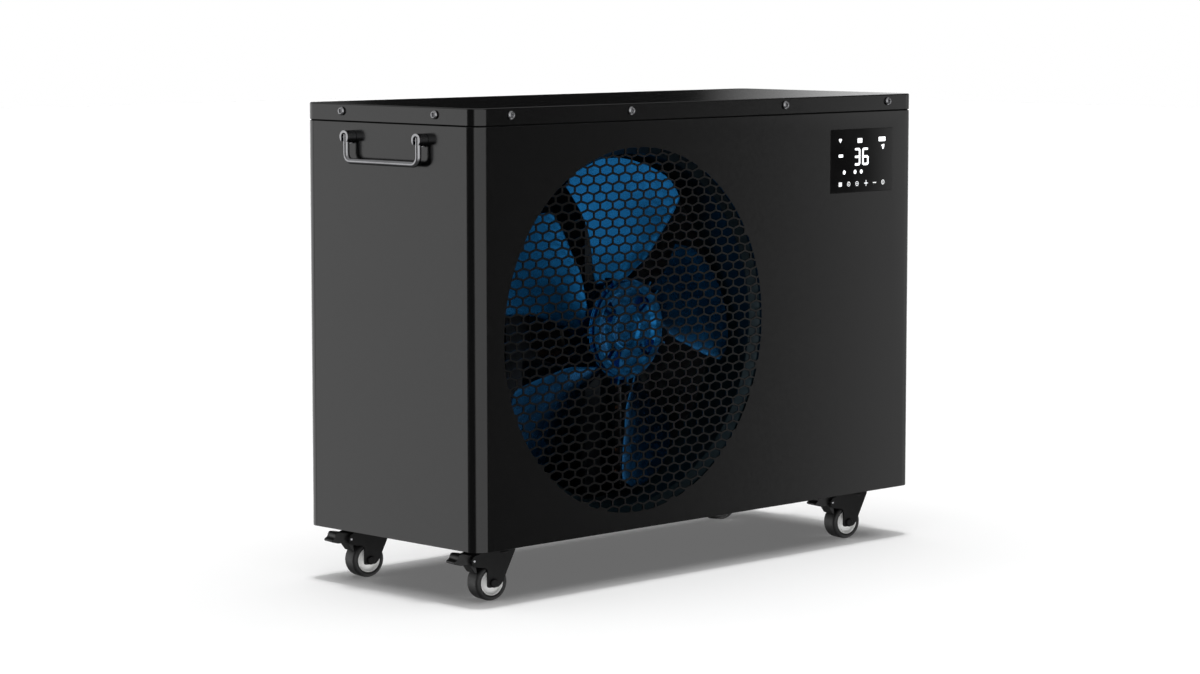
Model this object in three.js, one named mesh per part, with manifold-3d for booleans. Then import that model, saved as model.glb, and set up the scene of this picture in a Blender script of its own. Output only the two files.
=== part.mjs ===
// Portable pool heat pump on four braked swivel casters.
// Units are millimetres, +Z is up, the front (air outlet) faces -Y and the floor is z = 0.
import * as THREE from 'three';
import { mergeVertices, mergeGeometries } from 'three/addons/utils/BufferGeometryUtils.js';
import Module from 'manifold-3d';

const wasm = await Module();
wasm.setup();

// ---------------------------------------------------------------- driving dimensions
// casing
const BODY_W = 693;            // width along X
const BODY_D = 274;            // depth along Y
const BODY_H = 460;            // height from the tray's underside to the lid's top
const FLOOR_GAP = 59;          // floor to the tray's underside, the casters' build height
const CORNER_R = 15;           // radius of the four upright corners
const SHEET = 1.2;             // thickness of the sheet metal
const FIT = 0.3;               // clearance kept between pieces that touch
const LID_H = 18;              // height of the lid's skirt
const SEAM = 0.6;              // open seam under the lid's skirt
const TRAY_RIM = 12;           // height of the tray's upturned rim
const TONGUE = 26;             // height of the inner tongue that the lid's skirt screws to
const TONGUE_ROOT = 4;         // the tongue is joined to its panel this far below the seam

// perforated air outlet in the front panel
const OUTLET_R = 197;          // radius of the punched circle
const OUTLET_X = -111.5;       // centre of the circle from the casing's middle
const OUTLET_Z = 215.7;        // centre of the circle above the tray's underside
const PUNCH_COARSE = 4;        // the pattern is drawn this many times coarser than the punched one
const PUNCH_PITCH_X = 18.8 * PUNCH_COARSE;
const PUNCH_PITCH_Z = 9.42 * PUNCH_COARSE;
const PUNCH_WEB = 2.3 * PUNCH_COARSE;
const PUNCH_SLOPE = 17.2 * Math.PI / 180;   // slope of each hole's upper and lower edges

// display in the front panel
const DISPLAY_W = 107;
const DISPLAY_H = 71.6;
const DISPLAY_X = 253.5;       // centre from the casing's middle
const DISPLAY_Z = 385.4;       // centre above the tray's underside
const DISPLAY_DEEP = 14;
const DISPLAY_PROUD = 0.4;
const DISPLAY_FLANGE = 4;
const DISPLAY_BODY_IN = 3;

// lid screws
const SCREW_R = 2.4;
const SCREW_LONG = 12;
const SCREW_HEAD_R = 4.65;
const SCREW_HEAD_H = 3.1;
const SCREW_RISE = 10;         // above the skirt's lower edge
const SOCKET_R = 1.9;
const SOCKET_DEEP = 1.6;
const SCREW_FRONT = [-298.5, -122.5, 122.5, 298.5];
const SCREW_SIDE = [-73.9, 73.9];

// carrying handles on both sides
const HANDLE_SPAN = 114.4;     // distance between a handle's two bosses
const HANDLE_Z = 425.6;        // pivot height above the tray's underside
const BAIL_R = 3.2;            // radius of the round bar
const BAIL_STUB = 2.6;         // the bail's legs reach this far above the pivot axis
const BOSS_BORE_R = BAIL_R + 1;
const BOSS_BORE_DEEP = 8.2;
const BOSS_R = BOSS_BORE_R + 2.5;
const BOSS_LONG = 12.2;
const BAIL_OUT = 8.4;          // pivot axis out from the side panel
const BAIL_DROP = 25.6;        // pivot axis to the grip bar's axis
const BAIL_BEND = 8;           // bend radius on the bar's axis
const TRUNNION_R = 1.5;

// fan and its shroud
const TIP_INSIDE = 13;         // blade tips inside the outlet's circle
const FAN_R = OUTLET_R - TIP_INSIDE;
const HUB_R = 52;
const HUB_LIP = 3;             // the rim behind the hub's face stands out this far
const HUB_RIM_R = HUB_R + HUB_LIP;
const HUB_FRONT = 14;          // hub's front face behind the casing's front
const HUB_LONG = 48;
const BLADES = 5;
const BLADE_THICK = 2.2;
const BLADE_CAMBER = 3;
const BLADE_DEEP = 14;         // leading edge behind the hub's front face
const BLADE_START = 83 * Math.PI / 180;     // direction of the first blade
const SHROUD_GAP = 6;          // blade tip to shroud
const SHROUD_LONG = 70;
const MOTOR_R = 46;
const MOTOR_LONG = 62;
const MOTOR_GAP = 6;           // hub to motor
const SHAFT_R = 5;

// refrigerant circuit
const COIL_X0 = -330;
const COIL_X1 = 96;
const COIL_THICK = 28;
const COIL_BEHIND = 10;        // coil to the back panel
const PARTITION_X = 112;
const COMPRESSOR_R = 58;
const COMPRESSOR_H = 236;
const COMPRESSOR_ROOM = 20;    // partition to compressor
const COMPRESSOR_X = PARTITION_X + COMPRESSOR_ROOM + COMPRESSOR_R;
const COMPRESSOR_Y = -30;
const ACCUMULATOR_R = 21;
const ACCUMULATOR_H = 150;
const EXCHANGER_R = 48;
const EXCHANGER_H = 330;
const EXCHANGER_ROOM = 15.5;   // heat exchanger to the casing's right side
const EXCHANGER_X = BODY_W / 2 - EXCHANGER_ROOM - EXCHANGER_R;
const EXCHANGER_Y = 45;
const CONTROL_W = 150;
const CONTROL_H = 92;
const CONTROL_DEEP = 60;

// air inlet in the back panel
const INLET_COLS = 3;
const INLET_ROWS = 8;
const INLET_SLOT_W = 126;
const INLET_SLOT_H = 29;
const INLET_PITCH_X = 138;
const INLET_PITCH_Z = 46;

// water unions, cable gland and drain
const UNION_X = EXCHANGER_X;
const UNION_Z = [118, 298];    // above the tray's underside: outlet low, inlet high
const UNION_BORE_R = 19;
const UNION_WALL = 6;
const UNION_NUT_WALL = 8;
const UNION_PIPE_R = UNION_BORE_R + UNION_WALL;
const UNION_NUT_R = UNION_PIPE_R + UNION_NUT_WALL;
const UNION_NUT_LONG = 24;
const STUB_SHORT = 16;         // the heat exchanger's stubs end this far inside the back panel
const UNION_REACH = 43;        // out from the back panel
const GLAND_X = 190;
const GLAND_Z = 60;
const GLAND_R = 9;
const GLAND_NUT_R = 13;
const SPOUT_X = 49.5;
const SPOUT_IN_Y = 34;         // spout in from the casing's front
const SPOUT_R = 12;
const SPOUT_BORE_R = 8;
const SPOUT_LONG = 10;

// casters
const CASTER_IN_X = 63.2;      // kingpin in from the casing's side
const CASTER_IN_Y = 38.2;      // kingpin in from the casing's front and back
const CASTER_YAW = -10.3 * Math.PI / 180;
const TRAIL = 13.6;            // axle behind the kingpin
const TYRE_R = 19.4;
const TYRE_W = 22;
const TYRE_EDGE = 4;           // rounding of the tread's edges
const WHEEL_HUB_R = 13.5;
const WHEEL_SIDE_GAP = 0.8;    // tyre to the fork's cheek
const AXLE_R = 3;
const FORK_SHEET = 1.8;
const FORK_TOP = 5;            // fork's top below the tray
const PLATE_HALF = 19;
const PLATE_THICK = 1.8;
const RACE_R = 14;
const KINGPIN_R = 4;
const PEDAL_W = 17;
const PEDAL_PIN_X = -37.5;
const PEDAL_PIN_Z = -14.2;
const PEDAL_PIN_R = 1.5;
const SHOE_ANGLE = -66.7 * Math.PI / 180;
const SHOE_GAP = 1.83;         // brake shoe's tip to the tread

// derived places
const HALF_W = BODY_W / 2;
const HALF_D = BODY_D / 2;
const BODY_TOP = FLOOR_GAP + BODY_H;
const SKIRT_Z = BODY_TOP - LID_H;
const PANEL_TOP = SKIRT_Z - SEAM;
const TRAY_FLOOR = FLOOR_GAP + SHEET;
const FRONT = -HALF_D;
const BACK = HALF_D;
const FRONT_REACH = HALF_D + SCREW_HEAD_H;
const BACK_REACH = HALF_D + UNION_REACH;
const FAN_Z = FLOOR_GAP + OUTLET_Z;
const SPOUT_Y = FRONT + SPOUT_IN_Y;
const COIL_Y1 = BACK - SHEET - COIL_BEHIND;
const COIL_Y0 = COIL_Y1 - COIL_THICK;

// ---------------------------------------------------------------- materials
function finish(color, roughness, metalness) {
  return new THREE.MeshStandardMaterial({ color, roughness, metalness });
}
const PAINT = () => finish(0x202122, 0.38, 0.3);
const GLASS_BLACK = () => finish(0x0c0d0e, 0.08, 0.0);
const STEEL = () => finish(0xb4b6b8, 0.3, 1.0);
const BLACK_STEEL = () => finish(0x101112, 0.4, 0.4);
const FAN_BLUE = () => finish(0x1577a8, 0.4, 0.0);
const BLACK_PLASTIC = () => finish(0x121314, 0.55, 0.0);
const GREY_PLASTIC = () => finish(0xc9cbcc, 0.5, 0.0);
const RUBBER = () => finish(0x1a1a1b, 0.8, 0.0);
const GALVANISED = () => finish(0x9ea3a6, 0.45, 0.8);
const ALUMINIUM = () => finish(0xa9b3b8, 0.4, 0.9);

// ---------------------------------------------------------------- solids
function toSolid(geometry) {
  const bare = geometry.clone();
  bare.deleteAttribute('normal');
  bare.deleteAttribute('uv');
  const merged = mergeVertices(bare, 1e-4);
  return new wasm.Manifold(new wasm.Mesh({
    numProp: 3,
    vertProperties: new Float32Array(merged.attributes.position.array),
    triVerts: new Uint32Array(merged.index.array),
  }));
}

function toGeometry(solid) {
  const mesh = solid.getMesh();
  const geometry = new THREE.BufferGeometry();
  geometry.setAttribute('position', new THREE.BufferAttribute(new Float32Array(mesh.vertProperties), 3));
  geometry.setIndex(new THREE.BufferAttribute(new Uint32Array(mesh.triVerts), 1));
  geometry.computeVertexNormals();
  return geometry;
}

function piece(name, solid, material) {
  const mesh = new THREE.Mesh(toGeometry(solid), material);
  mesh.name = name;
  return mesh;
}

function join(...solids) {
  return solids.reduce((whole, next) => whole.add(next));
}

function box(x0, x1, y0, y1, z0, z1) {
  const geometry = new THREE.BoxGeometry(x1 - x0, y1 - y0, z1 - z0);
  geometry.translate((x0 + x1) / 2, (y0 + y1) / 2, (z0 + z1) / 2);
  return toSolid(geometry);
}

// A shape drawn in X and Y, drawn out from z0 to z1.
function upright(shape, z0, z1, curveSegments = 5) {
  const geometry = new THREE.ExtrudeGeometry(shape, { depth: z1 - z0, bevelEnabled: false, curveSegments });
  geometry.translate(0, 0, z0);
  return toSolid(geometry);
}

// A shape drawn in X and Z, drawn out from y0 to y1.
function across(shape, y0, y1, curveSegments = 5) {
  const geometry = new THREE.ExtrudeGeometry(shape, { depth: y1 - y0, bevelEnabled: false, curveSegments });
  geometry.rotateX(Math.PI / 2);
  geometry.translate(0, y1, 0);
  return toSolid(geometry);
}

function polygon(points) {
  return new THREE.Shape(points.map(([x, y]) => new THREE.Vector2(x, y)));
}

function roundedRect(halfX, halfY, radius) {
  const shape = new THREE.Shape();
  shape.moveTo(-halfX + radius, -halfY);
  shape.lineTo(halfX - radius, -halfY);
  shape.absarc(halfX - radius, -halfY + radius, radius, -Math.PI / 2, 0);
  shape.lineTo(halfX, halfY - radius);
  shape.absarc(halfX - radius, halfY - radius, radius, 0, Math.PI / 2);
  shape.lineTo(-halfX + radius, halfY);
  shape.absarc(-halfX + radius, halfY - radius, radius, Math.PI / 2, Math.PI);
  shape.lineTo(-halfX, -halfY + radius);
  shape.absarc(-halfX + radius, -halfY + radius, radius, Math.PI, Math.PI * 1.5);
  return shape;
}

// A turned solid about Z. Each profile point is [radius, height], listed either way round.
function turned(profile, segments = 24) {
  const points = profile.map(([radius, height]) => new THREE.Vector2(radius, height));
  if (THREE.ShapeUtils.area(points) < 0) points.reverse();
  const geometry = new THREE.LatheGeometry(points, segments);
  geometry.rotateX(Math.PI / 2);
  return toSolid(geometry);
}

function disc(radius, z0, z1, segments = 24) {
  return turned([[0, z0], [radius, z0], [radius, z1], [0, z1]], segments);
}

const alongX = solid => solid.rotate([0, 90, 0]);
const alongY = solid => solid.rotate([-90, 0, 0]);

// ---------------------------------------------------------------- casing
// A ring of sheet that follows the casing's outline, set in from it by the given amount.
function outlineRing(inset, z0, z1) {
  const outer = roundedRect(HALF_W - inset, HALF_D - inset, CORNER_R - inset);
  const innerInset = inset + SHEET;
  const inner = roundedRect(HALF_W - innerInset, HALF_D - innerInset, CORNER_R - innerInset);
  return upright(outer, z0, z1).subtract(upright(inner, z0 - 1, z1 + 1));
}

// Front and back panels wrap round the upright corners and end where the flat sides begin.
function wrapPanel(side) {
  const tongueInset = SHEET + FIT;
  const shell = outlineRing(0, FLOOR_GAP, PANEL_TOP);
  const tongue = outlineRing(tongueInset, SKIRT_Z - TONGUE / 2, SKIRT_Z + TONGUE / 2);
  const link = outlineRing(SHEET - FIT, SKIRT_Z - TONGUE / 2, SKIRT_Z - SEAM - TONGUE_ROOT);
  const edge = HALF_D - CORNER_R;
  const keep = side < 0
    ? box(-HALF_W - 1, HALF_W + 1, -HALF_D - 1, -edge, 0, BODY_TOP)
    : box(-HALF_W - 1, HALF_W + 1, edge, HALF_D + 1, 0, BODY_TOP);
  return join(shell, tongue, link).intersect(keep);
}

function sidePanel(side) {
  const half = HALF_D - CORNER_R - FIT;
  const place = (inset, thick, z0, z1) => {
    const x0 = HALF_W - inset - thick;
    return side > 0
      ? box(x0, x0 + thick, -half, half, z0, z1)
      : box(-x0 - thick, -x0, -half, half, z0, z1);
  };
  return join(
    place(0, SHEET, FLOOR_GAP, PANEL_TOP),
    place(SHEET - FIT, SHEET, SKIRT_Z - TONGUE / 2, SKIRT_Z - SEAM - TONGUE_ROOT),
    place(SHEET + FIT, SHEET, SKIRT_Z - TONGUE / 2, SKIRT_Z + TONGUE / 2),
  );
}

function screwHoles(radius) {
  const deep = SCREW_LONG + 4;
  const z = SKIRT_Z + SCREW_RISE;
  const holes = [];
  for (const x of SCREW_FRONT) {
    for (const side of [-1, 1]) {
      holes.push(alongY(disc(radius, -deep, deep, 10)).translate([x, side * HALF_D, z]));
    }
  }
  for (const y of SCREW_SIDE) {
    for (const side of [-1, 1]) {
      holes.push(alongX(disc(radius, -deep, deep, 10)).translate([side * HALF_W, y, z]));
    }
  }
  return join(...holes);
}

// Stretched hexagonal punch holes on an offset grid, clipped by the outlet's circle.
function outletPunch() {
  const rise = Math.tan(PUNCH_SLOPE) * PUNCH_PITCH_X / 2;
  const halfW = (PUNCH_PITCH_X - PUNCH_WEB) / 2;
  const top = PUNCH_PITCH_Z / 2 + rise / 2 - PUNCH_WEB / 2 / Math.cos(PUNCH_SLOPE);
  const shoulder = top - halfW * Math.tan(PUNCH_SLOPE);
  const hexagon = polygon([
    [0, -top], [halfW, -shoulder], [halfW, shoulder], [0, top], [-halfW, shoulder], [-halfW, -shoulder],
  ]);
  const hole = new THREE.ExtrudeGeometry(hexagon, { depth: SHEET + 4, bevelEnabled: false });
  hole.rotateX(Math.PI / 2);
  const rows = Math.ceil(OUTLET_R / PUNCH_PITCH_Z) + 1;
  const columns = Math.ceil(OUTLET_R / PUNCH_PITCH_X) + 1;
  const holes = [];
  for (let row = -rows; row <= rows; row += 1) {
    const shift = row % 2 === 0 ? 0 : PUNCH_PITCH_X / 2;
    for (let column = -columns; column <= columns; column += 1) {
      const x = column * PUNCH_PITCH_X + shift;
      const z = (row - 0.5) * PUNCH_PITCH_Z;
      if (Math.hypot(Math.abs(x) - halfW * 0.6, z) < OUTLET_R) {
        holes.push(hole.clone().translate(OUTLET_X + x, FRONT + SHEET + 2, FAN_Z + z));
      }
    }
  }
  const circle = alongY(disc(OUTLET_R, -6, 6, 72)).translate([OUTLET_X, FRONT, FAN_Z]);
  return toSolid(mergeGeometries(holes)).intersect(circle);
}

function frontPanel() {
  const halfW = DISPLAY_W / 2 + FIT;
  const halfH = DISPLAY_H / 2 + FIT;
  const window = box(-halfW, halfW, -1, SHEET + 1, -halfH, halfH)
    .translate([DISPLAY_X, FRONT, FLOOR_GAP + DISPLAY_Z]);
  return wrapPanel(-1).subtract(outletPunch()).subtract(window).subtract(screwHoles(SCREW_R + FIT));
}

function inletSlots() {
  const slots = [];
  const middleX = (COIL_X0 + COIL_X1) / 2;
  const middleZ = FLOOR_GAP + (TRAY_RIM + BODY_H - LID_H) / 2;
  for (let column = 0; column < INLET_COLS; column += 1) {
    for (let row = 0; row < INLET_ROWS; row += 1) {
      const x = middleX + (column - (INLET_COLS - 1) / 2) * INLET_PITCH_X;
      const z = middleZ + (row - (INLET_ROWS - 1) / 2) * INLET_PITCH_Z;
      slots.push(box(x - INLET_SLOT_W / 2, x + INLET_SLOT_W / 2, BACK - SHEET - 1, BACK + 1,
        z - INLET_SLOT_H / 2, z + INLET_SLOT_H / 2));
    }
  }
  return join(...slots);
}

function backPanel() {
  let panel = wrapPanel(1).subtract(inletSlots()).subtract(screwHoles(SCREW_R + FIT));
  const unionHole = alongY(disc(UNION_PIPE_R + FIT, -6, 6, 20));
  for (const z of UNION_Z) {
    panel = panel.subtract(unionHole.translate([UNION_X, BACK, FLOOR_GAP + z]));
  }
  const glandHole = alongY(disc(GLAND_R + FIT, -6, 6, 12));
  return panel.subtract(glandHole.translate([GLAND_X, BACK, FLOOR_GAP + GLAND_Z]));
}

function lid() {
  const top = upright(roundedRect(HALF_W, HALF_D, CORNER_R), BODY_TOP - SHEET, BODY_TOP);
  return outlineRing(0, SKIRT_Z, BODY_TOP - SHEET).add(top).subtract(screwHoles(SCREW_R + FIT));
}

function baseTray() {
  const inset = SHEET + FIT;
  const outline = roundedRect(HALF_W - inset, HALF_D - inset, CORNER_R - inset);
  const floor = upright(outline, FLOOR_GAP, TRAY_FLOOR);
  const drain = disc(SPOUT_BORE_R + SHEET + FIT, FLOOR_GAP - 1, TRAY_FLOOR + 1, 18)
    .translate([SPOUT_X, SPOUT_Y, 0]);
  return outlineRing(inset, TRAY_FLOOR, FLOOR_GAP + TRAY_RIM).add(floor).subtract(drain);
}

function displayPanel() {
  const behind = SHEET + FIT;
  // A slab of the display's outline, let out all round, between two depths behind the casing's front.
  const slab = (out, y0, y1) => {
    const halfW = DISPLAY_W / 2 + out;
    const halfH = DISPLAY_H / 2 + out;
    return box(-halfW, halfW, y0, y1, -halfH, halfH);
  };
  return join(
    slab(0, -DISPLAY_PROUD, behind + 1),
    slab(DISPLAY_FLANGE, behind, behind + 2),
    slab(-DISPLAY_BODY_IN, behind + 1, DISPLAY_DEEP),
  ).translate([DISPLAY_X, FRONT, FLOOR_GAP + DISPLAY_Z]);
}

// Pan-head screw with a round socket, head at z > 0 and shank below.
function screw() {
  const crown = SCREW_HEAD_H * 0.68;
  const head = turned([
    [0, -SCREW_LONG], [SCREW_R, -SCREW_LONG], [SCREW_R, FIT], [SCREW_HEAD_R, FIT], [SCREW_HEAD_R, crown],
    [SCREW_HEAD_R * 0.82, SCREW_HEAD_H], [0, SCREW_HEAD_H],
  ], 12);
  return head.subtract(disc(SOCKET_R, SCREW_HEAD_H - SOCKET_DEEP, SCREW_HEAD_H + 1, 6));
}

function addCasing(unit) {
  unit.add(
    piece('base_tray', baseTray(), PAINT()),
    piece('front_panel', frontPanel(), PAINT()),
    piece('left_panel', sidePanel(-1).subtract(screwHoles(SCREW_R + FIT)), PAINT()),
    piece('right_panel', sidePanel(1).subtract(screwHoles(SCREW_R + FIT)), PAINT()),
    piece('back_panel', backPanel(), PAINT()),
    piece('lid', lid(), PAINT()),
    piece('display_panel', displayPanel(), GLASS_BLACK()),
  );
  const z = SKIRT_Z + SCREW_RISE;
  SCREW_FRONT.forEach((x, index) => {
    const turnedOut = screw().rotate([90, 0, 0]).translate([x, FRONT, z]);
    unit.add(piece(`lid_screw_front_${index + 1}`, turnedOut, BLACK_STEEL()));
  });
  for (const [word, side] of [['left', -1], ['right', 1]]) {
    SCREW_SIDE.forEach((y, index) => {
      const turnedOut = screw().rotate([0, side * 90, 0]).translate([side * HALF_W, y, z]);
      unit.add(piece(`lid_screw_${word}_${index + 1}`, turnedOut, BLACK_STEEL()));
    });
  }
}

// ---------------------------------------------------------------- carrying handles
// Boss along +X from the panel, open at its outer end, with a slot below for the bail's leg.
function handleBoss() {
  const pin = disc(TRUNNION_R + FIT, -BOSS_R - 1, BOSS_R + 1, 10);
  const bore = alongX(disc(BOSS_BORE_R, BOSS_LONG - BOSS_BORE_DEEP, BOSS_LONG + 1, 20));
  const slot = box(BOSS_LONG - BOSS_BORE_DEEP, BOSS_LONG + 1, -BOSS_BORE_R, BOSS_BORE_R, -BOSS_R - 1, 0);
  const body = alongX(turned([[0, FIT], [BOSS_R, FIT], [BOSS_R, BOSS_LONG], [0, BOSS_LONG]], 24));
  return body.subtract(bore).subtract(slot).subtract(alongY(pin).translate([BAIL_OUT, 0, 0]));
}

// U-shaped round bar in the YZ plane with its pivot axis along Y through the origin.
function handleBail() {
  const half = HANDLE_SPAN / 2;
  const bend = BAIL_BEND;
  const path = new THREE.CurvePath();
  const at = (y, z) => new THREE.Vector3(0, y, z);
  const low = -BAIL_DROP;
  path.add(new THREE.LineCurve3(at(-half, BAIL_STUB), at(-half, low + bend)));
  path.add(new THREE.QuadraticBezierCurve3(at(-half, low + bend), at(-half, low), at(-half + bend, low)));
  path.add(new THREE.LineCurve3(at(-half + bend, low), at(half - bend, low)));
  path.add(new THREE.QuadraticBezierCurve3(at(half - bend, low), at(half, low), at(half, low + bend)));
  path.add(new THREE.LineCurve3(at(half, low + bend), at(half, BAIL_STUB)));
  const section = new THREE.Shape().absarc(0, 0, BAIL_R, 0, Math.PI * 2);
  const bar = new THREE.ExtrudeGeometry(section, { steps: 40, extrudePath: path, curveSegments: 4 });
  const trunnion = alongY(disc(TRUNNION_R, -BOSS_R + 0.6, BOSS_R - 0.6, 10));
  return join(toSolid(bar), trunnion.translate([0, -half, 0]), trunnion.translate([0, half, 0]));
}

function addHandles(unit) {
  for (const [word, side] of [['left', -1], ['right', 1]]) {
    const handle = new THREE.Group();
    handle.position.set(side * HALF_W, 0, FLOOR_GAP + HANDLE_Z);
    handle.rotation.z = side > 0 ? 0 : Math.PI;
    for (const [end, y] of [['front', -HANDLE_SPAN / 2], ['rear', HANDLE_SPAN / 2]]) {
      const boss = piece(`${word}_handle_boss_${end}`, handleBoss(), BLACK_STEEL());
      boss.position.y = side * y;
      handle.add(boss);
    }
    const bail = piece(`${word}_handle_bail`, handleBail(), STEEL());
    bail.position.x = BAIL_OUT;
    handle.add(bail);
    unit.add(handle);
  }
}

// ---------------------------------------------------------------- fan
// Edges of a blade as angles either side of its centre line, against the radius from the axis.
const leadingEdge = smooth([[46, 5], [58, -6.5], [81, -20.5], [111, -25], [150, -27.5], [186, -26.5]]);
const trailingEdge = smooth([[46, 31], [58, 26], [81, 17.4], [111, 15.2], [150, 19], [186, 25]]);
// Pitch of the blade to the plane it turns in, in degrees against the radius.
const bladePitch = smooth([[46, 36], [81, 28], [111, 24], [186, 17.5]]);
// Reach of the blade's tip across its chord, as a share of the fan's radius.
const tipReach = smooth([[0, 0.9], [0.12, 0.965], [0.35, 0.995], [0.55, 1], [0.8, 0.96], [1, 0.86]]);

function smooth(points) {
  return new THREE.SplineCurve(points.map(([x, y]) => new THREE.Vector2(x, y)));
}

function valueAt(curve, x) {
  const first = curve.points[0].x;
  const last = curve.points[curve.points.length - 1].x;
  let low = 0;
  let high = 1;
  for (let step = 0; step < 24; step += 1) {
    const middle = (low + high) / 2;
    if (curve.getPoint(middle).x < Math.min(Math.max(x, first), last)) low = middle;
    else high = middle;
  }
  return curve.getPoint((low + high) / 2).y;
}

// One blade. The fan's axis is Y through the origin, and the leading edge is nearest the front.
function blade(direction) {
  const rootR = HUB_R - 5;
  const grid = new THREE.BoxGeometry(1, 1, 1, 5, 6, 1);
  const place = grid.attributes.position;
  for (let i = 0; i < place.count; i += 1) {
    const chord = place.getX(i) + 0.5;
    const span = place.getY(i) + 0.5;
    const radius = rootR + span * (FAN_R * valueAt(tipReach, chord) - rootR);
    const from = valueAt(leadingEdge, radius) * Math.PI / 180;
    const to = valueAt(trailingEdge, radius) * Math.PI / 180;
    const slope = Math.tan(valueAt(bladePitch, radius) * Math.PI / 180);
    const angle = direction + from + chord * (to - from);
    const camber = Math.sin(chord * Math.PI) * BLADE_CAMBER;
    const depth = BLADE_DEEP + chord * radius * (to - from) * slope - camber;
    const thick = BLADE_THICK * (place.getZ(i) > 0 ? 0.5 : -0.5);
    place.setXYZ(i, radius * Math.cos(angle), depth + thick, radius * Math.sin(angle));
  }
  return toSolid(grid);
}

function fanRotor() {
  const rim = 6;
  const wall = 3;
  const hub = alongY(turned([
    [0, 3], [HUB_R - 12, 3], [HUB_R - 9, 0], [HUB_R, 0], [HUB_R, 3], [HUB_RIM_R, 3], [HUB_RIM_R, 3 + rim],
    [HUB_R, 3 + rim], [HUB_R, HUB_LONG], [HUB_R - wall, HUB_LONG], [HUB_R - wall, 8], [SHAFT_R + 6, 8],
    [SHAFT_R + 6, HUB_LONG - 6], [SHAFT_R + FIT, HUB_LONG - 6], [SHAFT_R + FIT, 8], [0, 8],
  ], 24));
  let rotor = hub;
  const inside = alongY(disc(HUB_R - 1, 8, HUB_LONG + 60, 24));
  for (let index = 0; index < BLADES; index += 1) {
    rotor = rotor.add(blade(BLADE_START + index * Math.PI * 2 / BLADES).subtract(inside));
  }
  return rotor.translate([OUTLET_X, FRONT + HUB_FRONT, FAN_Z]);
}

function fanShroud() {
  const inner = FAN_R + SHROUD_GAP;
  const wall = 2;
  const throat = 12;
  const flange = OUTLET_R + 6;
  const ring = alongY(turned([
    [inner, throat], [OUTLET_R + 1, 2], [OUTLET_R + 1, 0], [flange, 0], [flange, wall],
    [OUTLET_R + 3, wall + 1], [inner + wall, throat + wall], [inner + wall, SHROUD_LONG],
    [inner, SHROUD_LONG], [inner, throat],
  ], 44));
  return ring.translate([OUTLET_X, FRONT + SHEET + FIT, FAN_Z]);
}

function fanMotor() {
  const start = HUB_LONG + MOTOR_GAP;
  const shaftStart = 10;
  const body = turned([
    [0, shaftStart], [SHAFT_R, shaftStart], [SHAFT_R, start - 4], [14, start - 4], [14, start],
    [MOTOR_R - 6, start], [MOTOR_R, start + 6], [MOTOR_R, start + MOTOR_LONG - 8],
    [MOTOR_R - 8, start + MOTOR_LONG], [0, start + MOTOR_LONG],
  ], 20);
  return alongY(body).translate([OUTLET_X, FRONT + HUB_FRONT, FAN_Z]);
}

function motorBracket() {
  const y0 = FRONT + HUB_FRONT + HUB_LONG + MOTOR_GAP + MOTOR_LONG + FIT;
  const thick = 4;
  const y1 = y0 + thick;
  const z0 = TRAY_FLOOR + FIT;
  const half = 12;
  const spread = 60;
  const post = x => box(OUTLET_X + x - half, OUTLET_X + x + half, y0, y1, z0, PANEL_TOP - 4);
  const foot = x => box(OUTLET_X + x - half, OUTLET_X + x + half, y0 - 26, y1, z0, z0 + 3);
  const bar = z => box(OUTLET_X - 70, OUTLET_X + 70, y0, y1, FAN_Z + z - 10, FAN_Z + z + 10);
  const pad = alongY(disc(MOTOR_R, 0, thick, 28)).translate([OUTLET_X, y0, FAN_Z]);
  return join(post(-spread), post(spread), foot(-spread), foot(spread), bar(-30), bar(30), bar(0), pad);
}

function addFan(unit) {
  unit.add(
    piece('fan_shroud', fanShroud(), BLACK_PLASTIC()),
    piece('fan_rotor', fanRotor(), FAN_BLUE()),
    piece('fan_motor', fanMotor(), BLACK_STEEL()),
    piece('motor_bracket', motorBracket(), GALVANISED()),
  );
}

// ---------------------------------------------------------------- refrigerant circuit
function evaporatorCoil() {
  const z0 = TRAY_FLOOR + 4;
  const z1 = PANEL_TOP - 12;
  const plate = 2;
  const reach = 3;
  const block = box(COIL_X0 + plate, COIL_X1 - plate, COIL_Y0, COIL_Y1, z0, z1);
  const end = (x) => box(x, x + plate + 0.5, COIL_Y0 - reach, COIL_Y1 + reach, z0 - 3, z1 + 3);
  return join(block, end(COIL_X0), end(COIL_X1 - plate - 0.5));
}

function partitionWall() {
  const y0 = FRONT + SHEET + 6;
  const y1 = BACK - SHEET - 6;
  const z0 = TRAY_FLOOR + FIT;
  const z1 = PANEL_TOP - 4;
  const foot = 14;
  return join(
    box(PARTITION_X, PARTITION_X + SHEET, y0, y1, z0, z1),
    box(PARTITION_X, PARTITION_X + foot, y0, y1, z0, z0 + SHEET),
    box(PARTITION_X, PARTITION_X + foot, y0, y0 + SHEET, z0, z1),
  );
}

function domedTank(radius, height, segments) {
  return turned([
    [0, 0], [radius * 0.7, 2], [radius * 0.94, 10], [radius, 20], [radius, height - 22],
    [radius * 0.94, height - 10], [radius * 0.7, height - 2], [0, height],
  ], segments);
}

function compressor() {
  const z0 = TRAY_FLOOR + FIT;
  const footThick = 4;
  const grommet = 9;
  let solid = domedTank(COMPRESSOR_R, COMPRESSOR_H, 24).translate([0, 0, grommet + 1]);
  for (let index = 0; index < 3; index += 1) {
    const turn = [0, 0, 90 + index * 120];
    const reach = COMPRESSOR_R + 6;
    const foot = box(0, reach + 8, -11, 11, grommet, grommet + footThick);
    const rubber = disc(8, 0, grommet + 1, 16).translate([reach, 0, 0]);
    solid = solid.add(foot.add(rubber).rotate(turn));
  }
  return solid.translate([COMPRESSOR_X, COMPRESSOR_Y, z0]);
}

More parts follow.
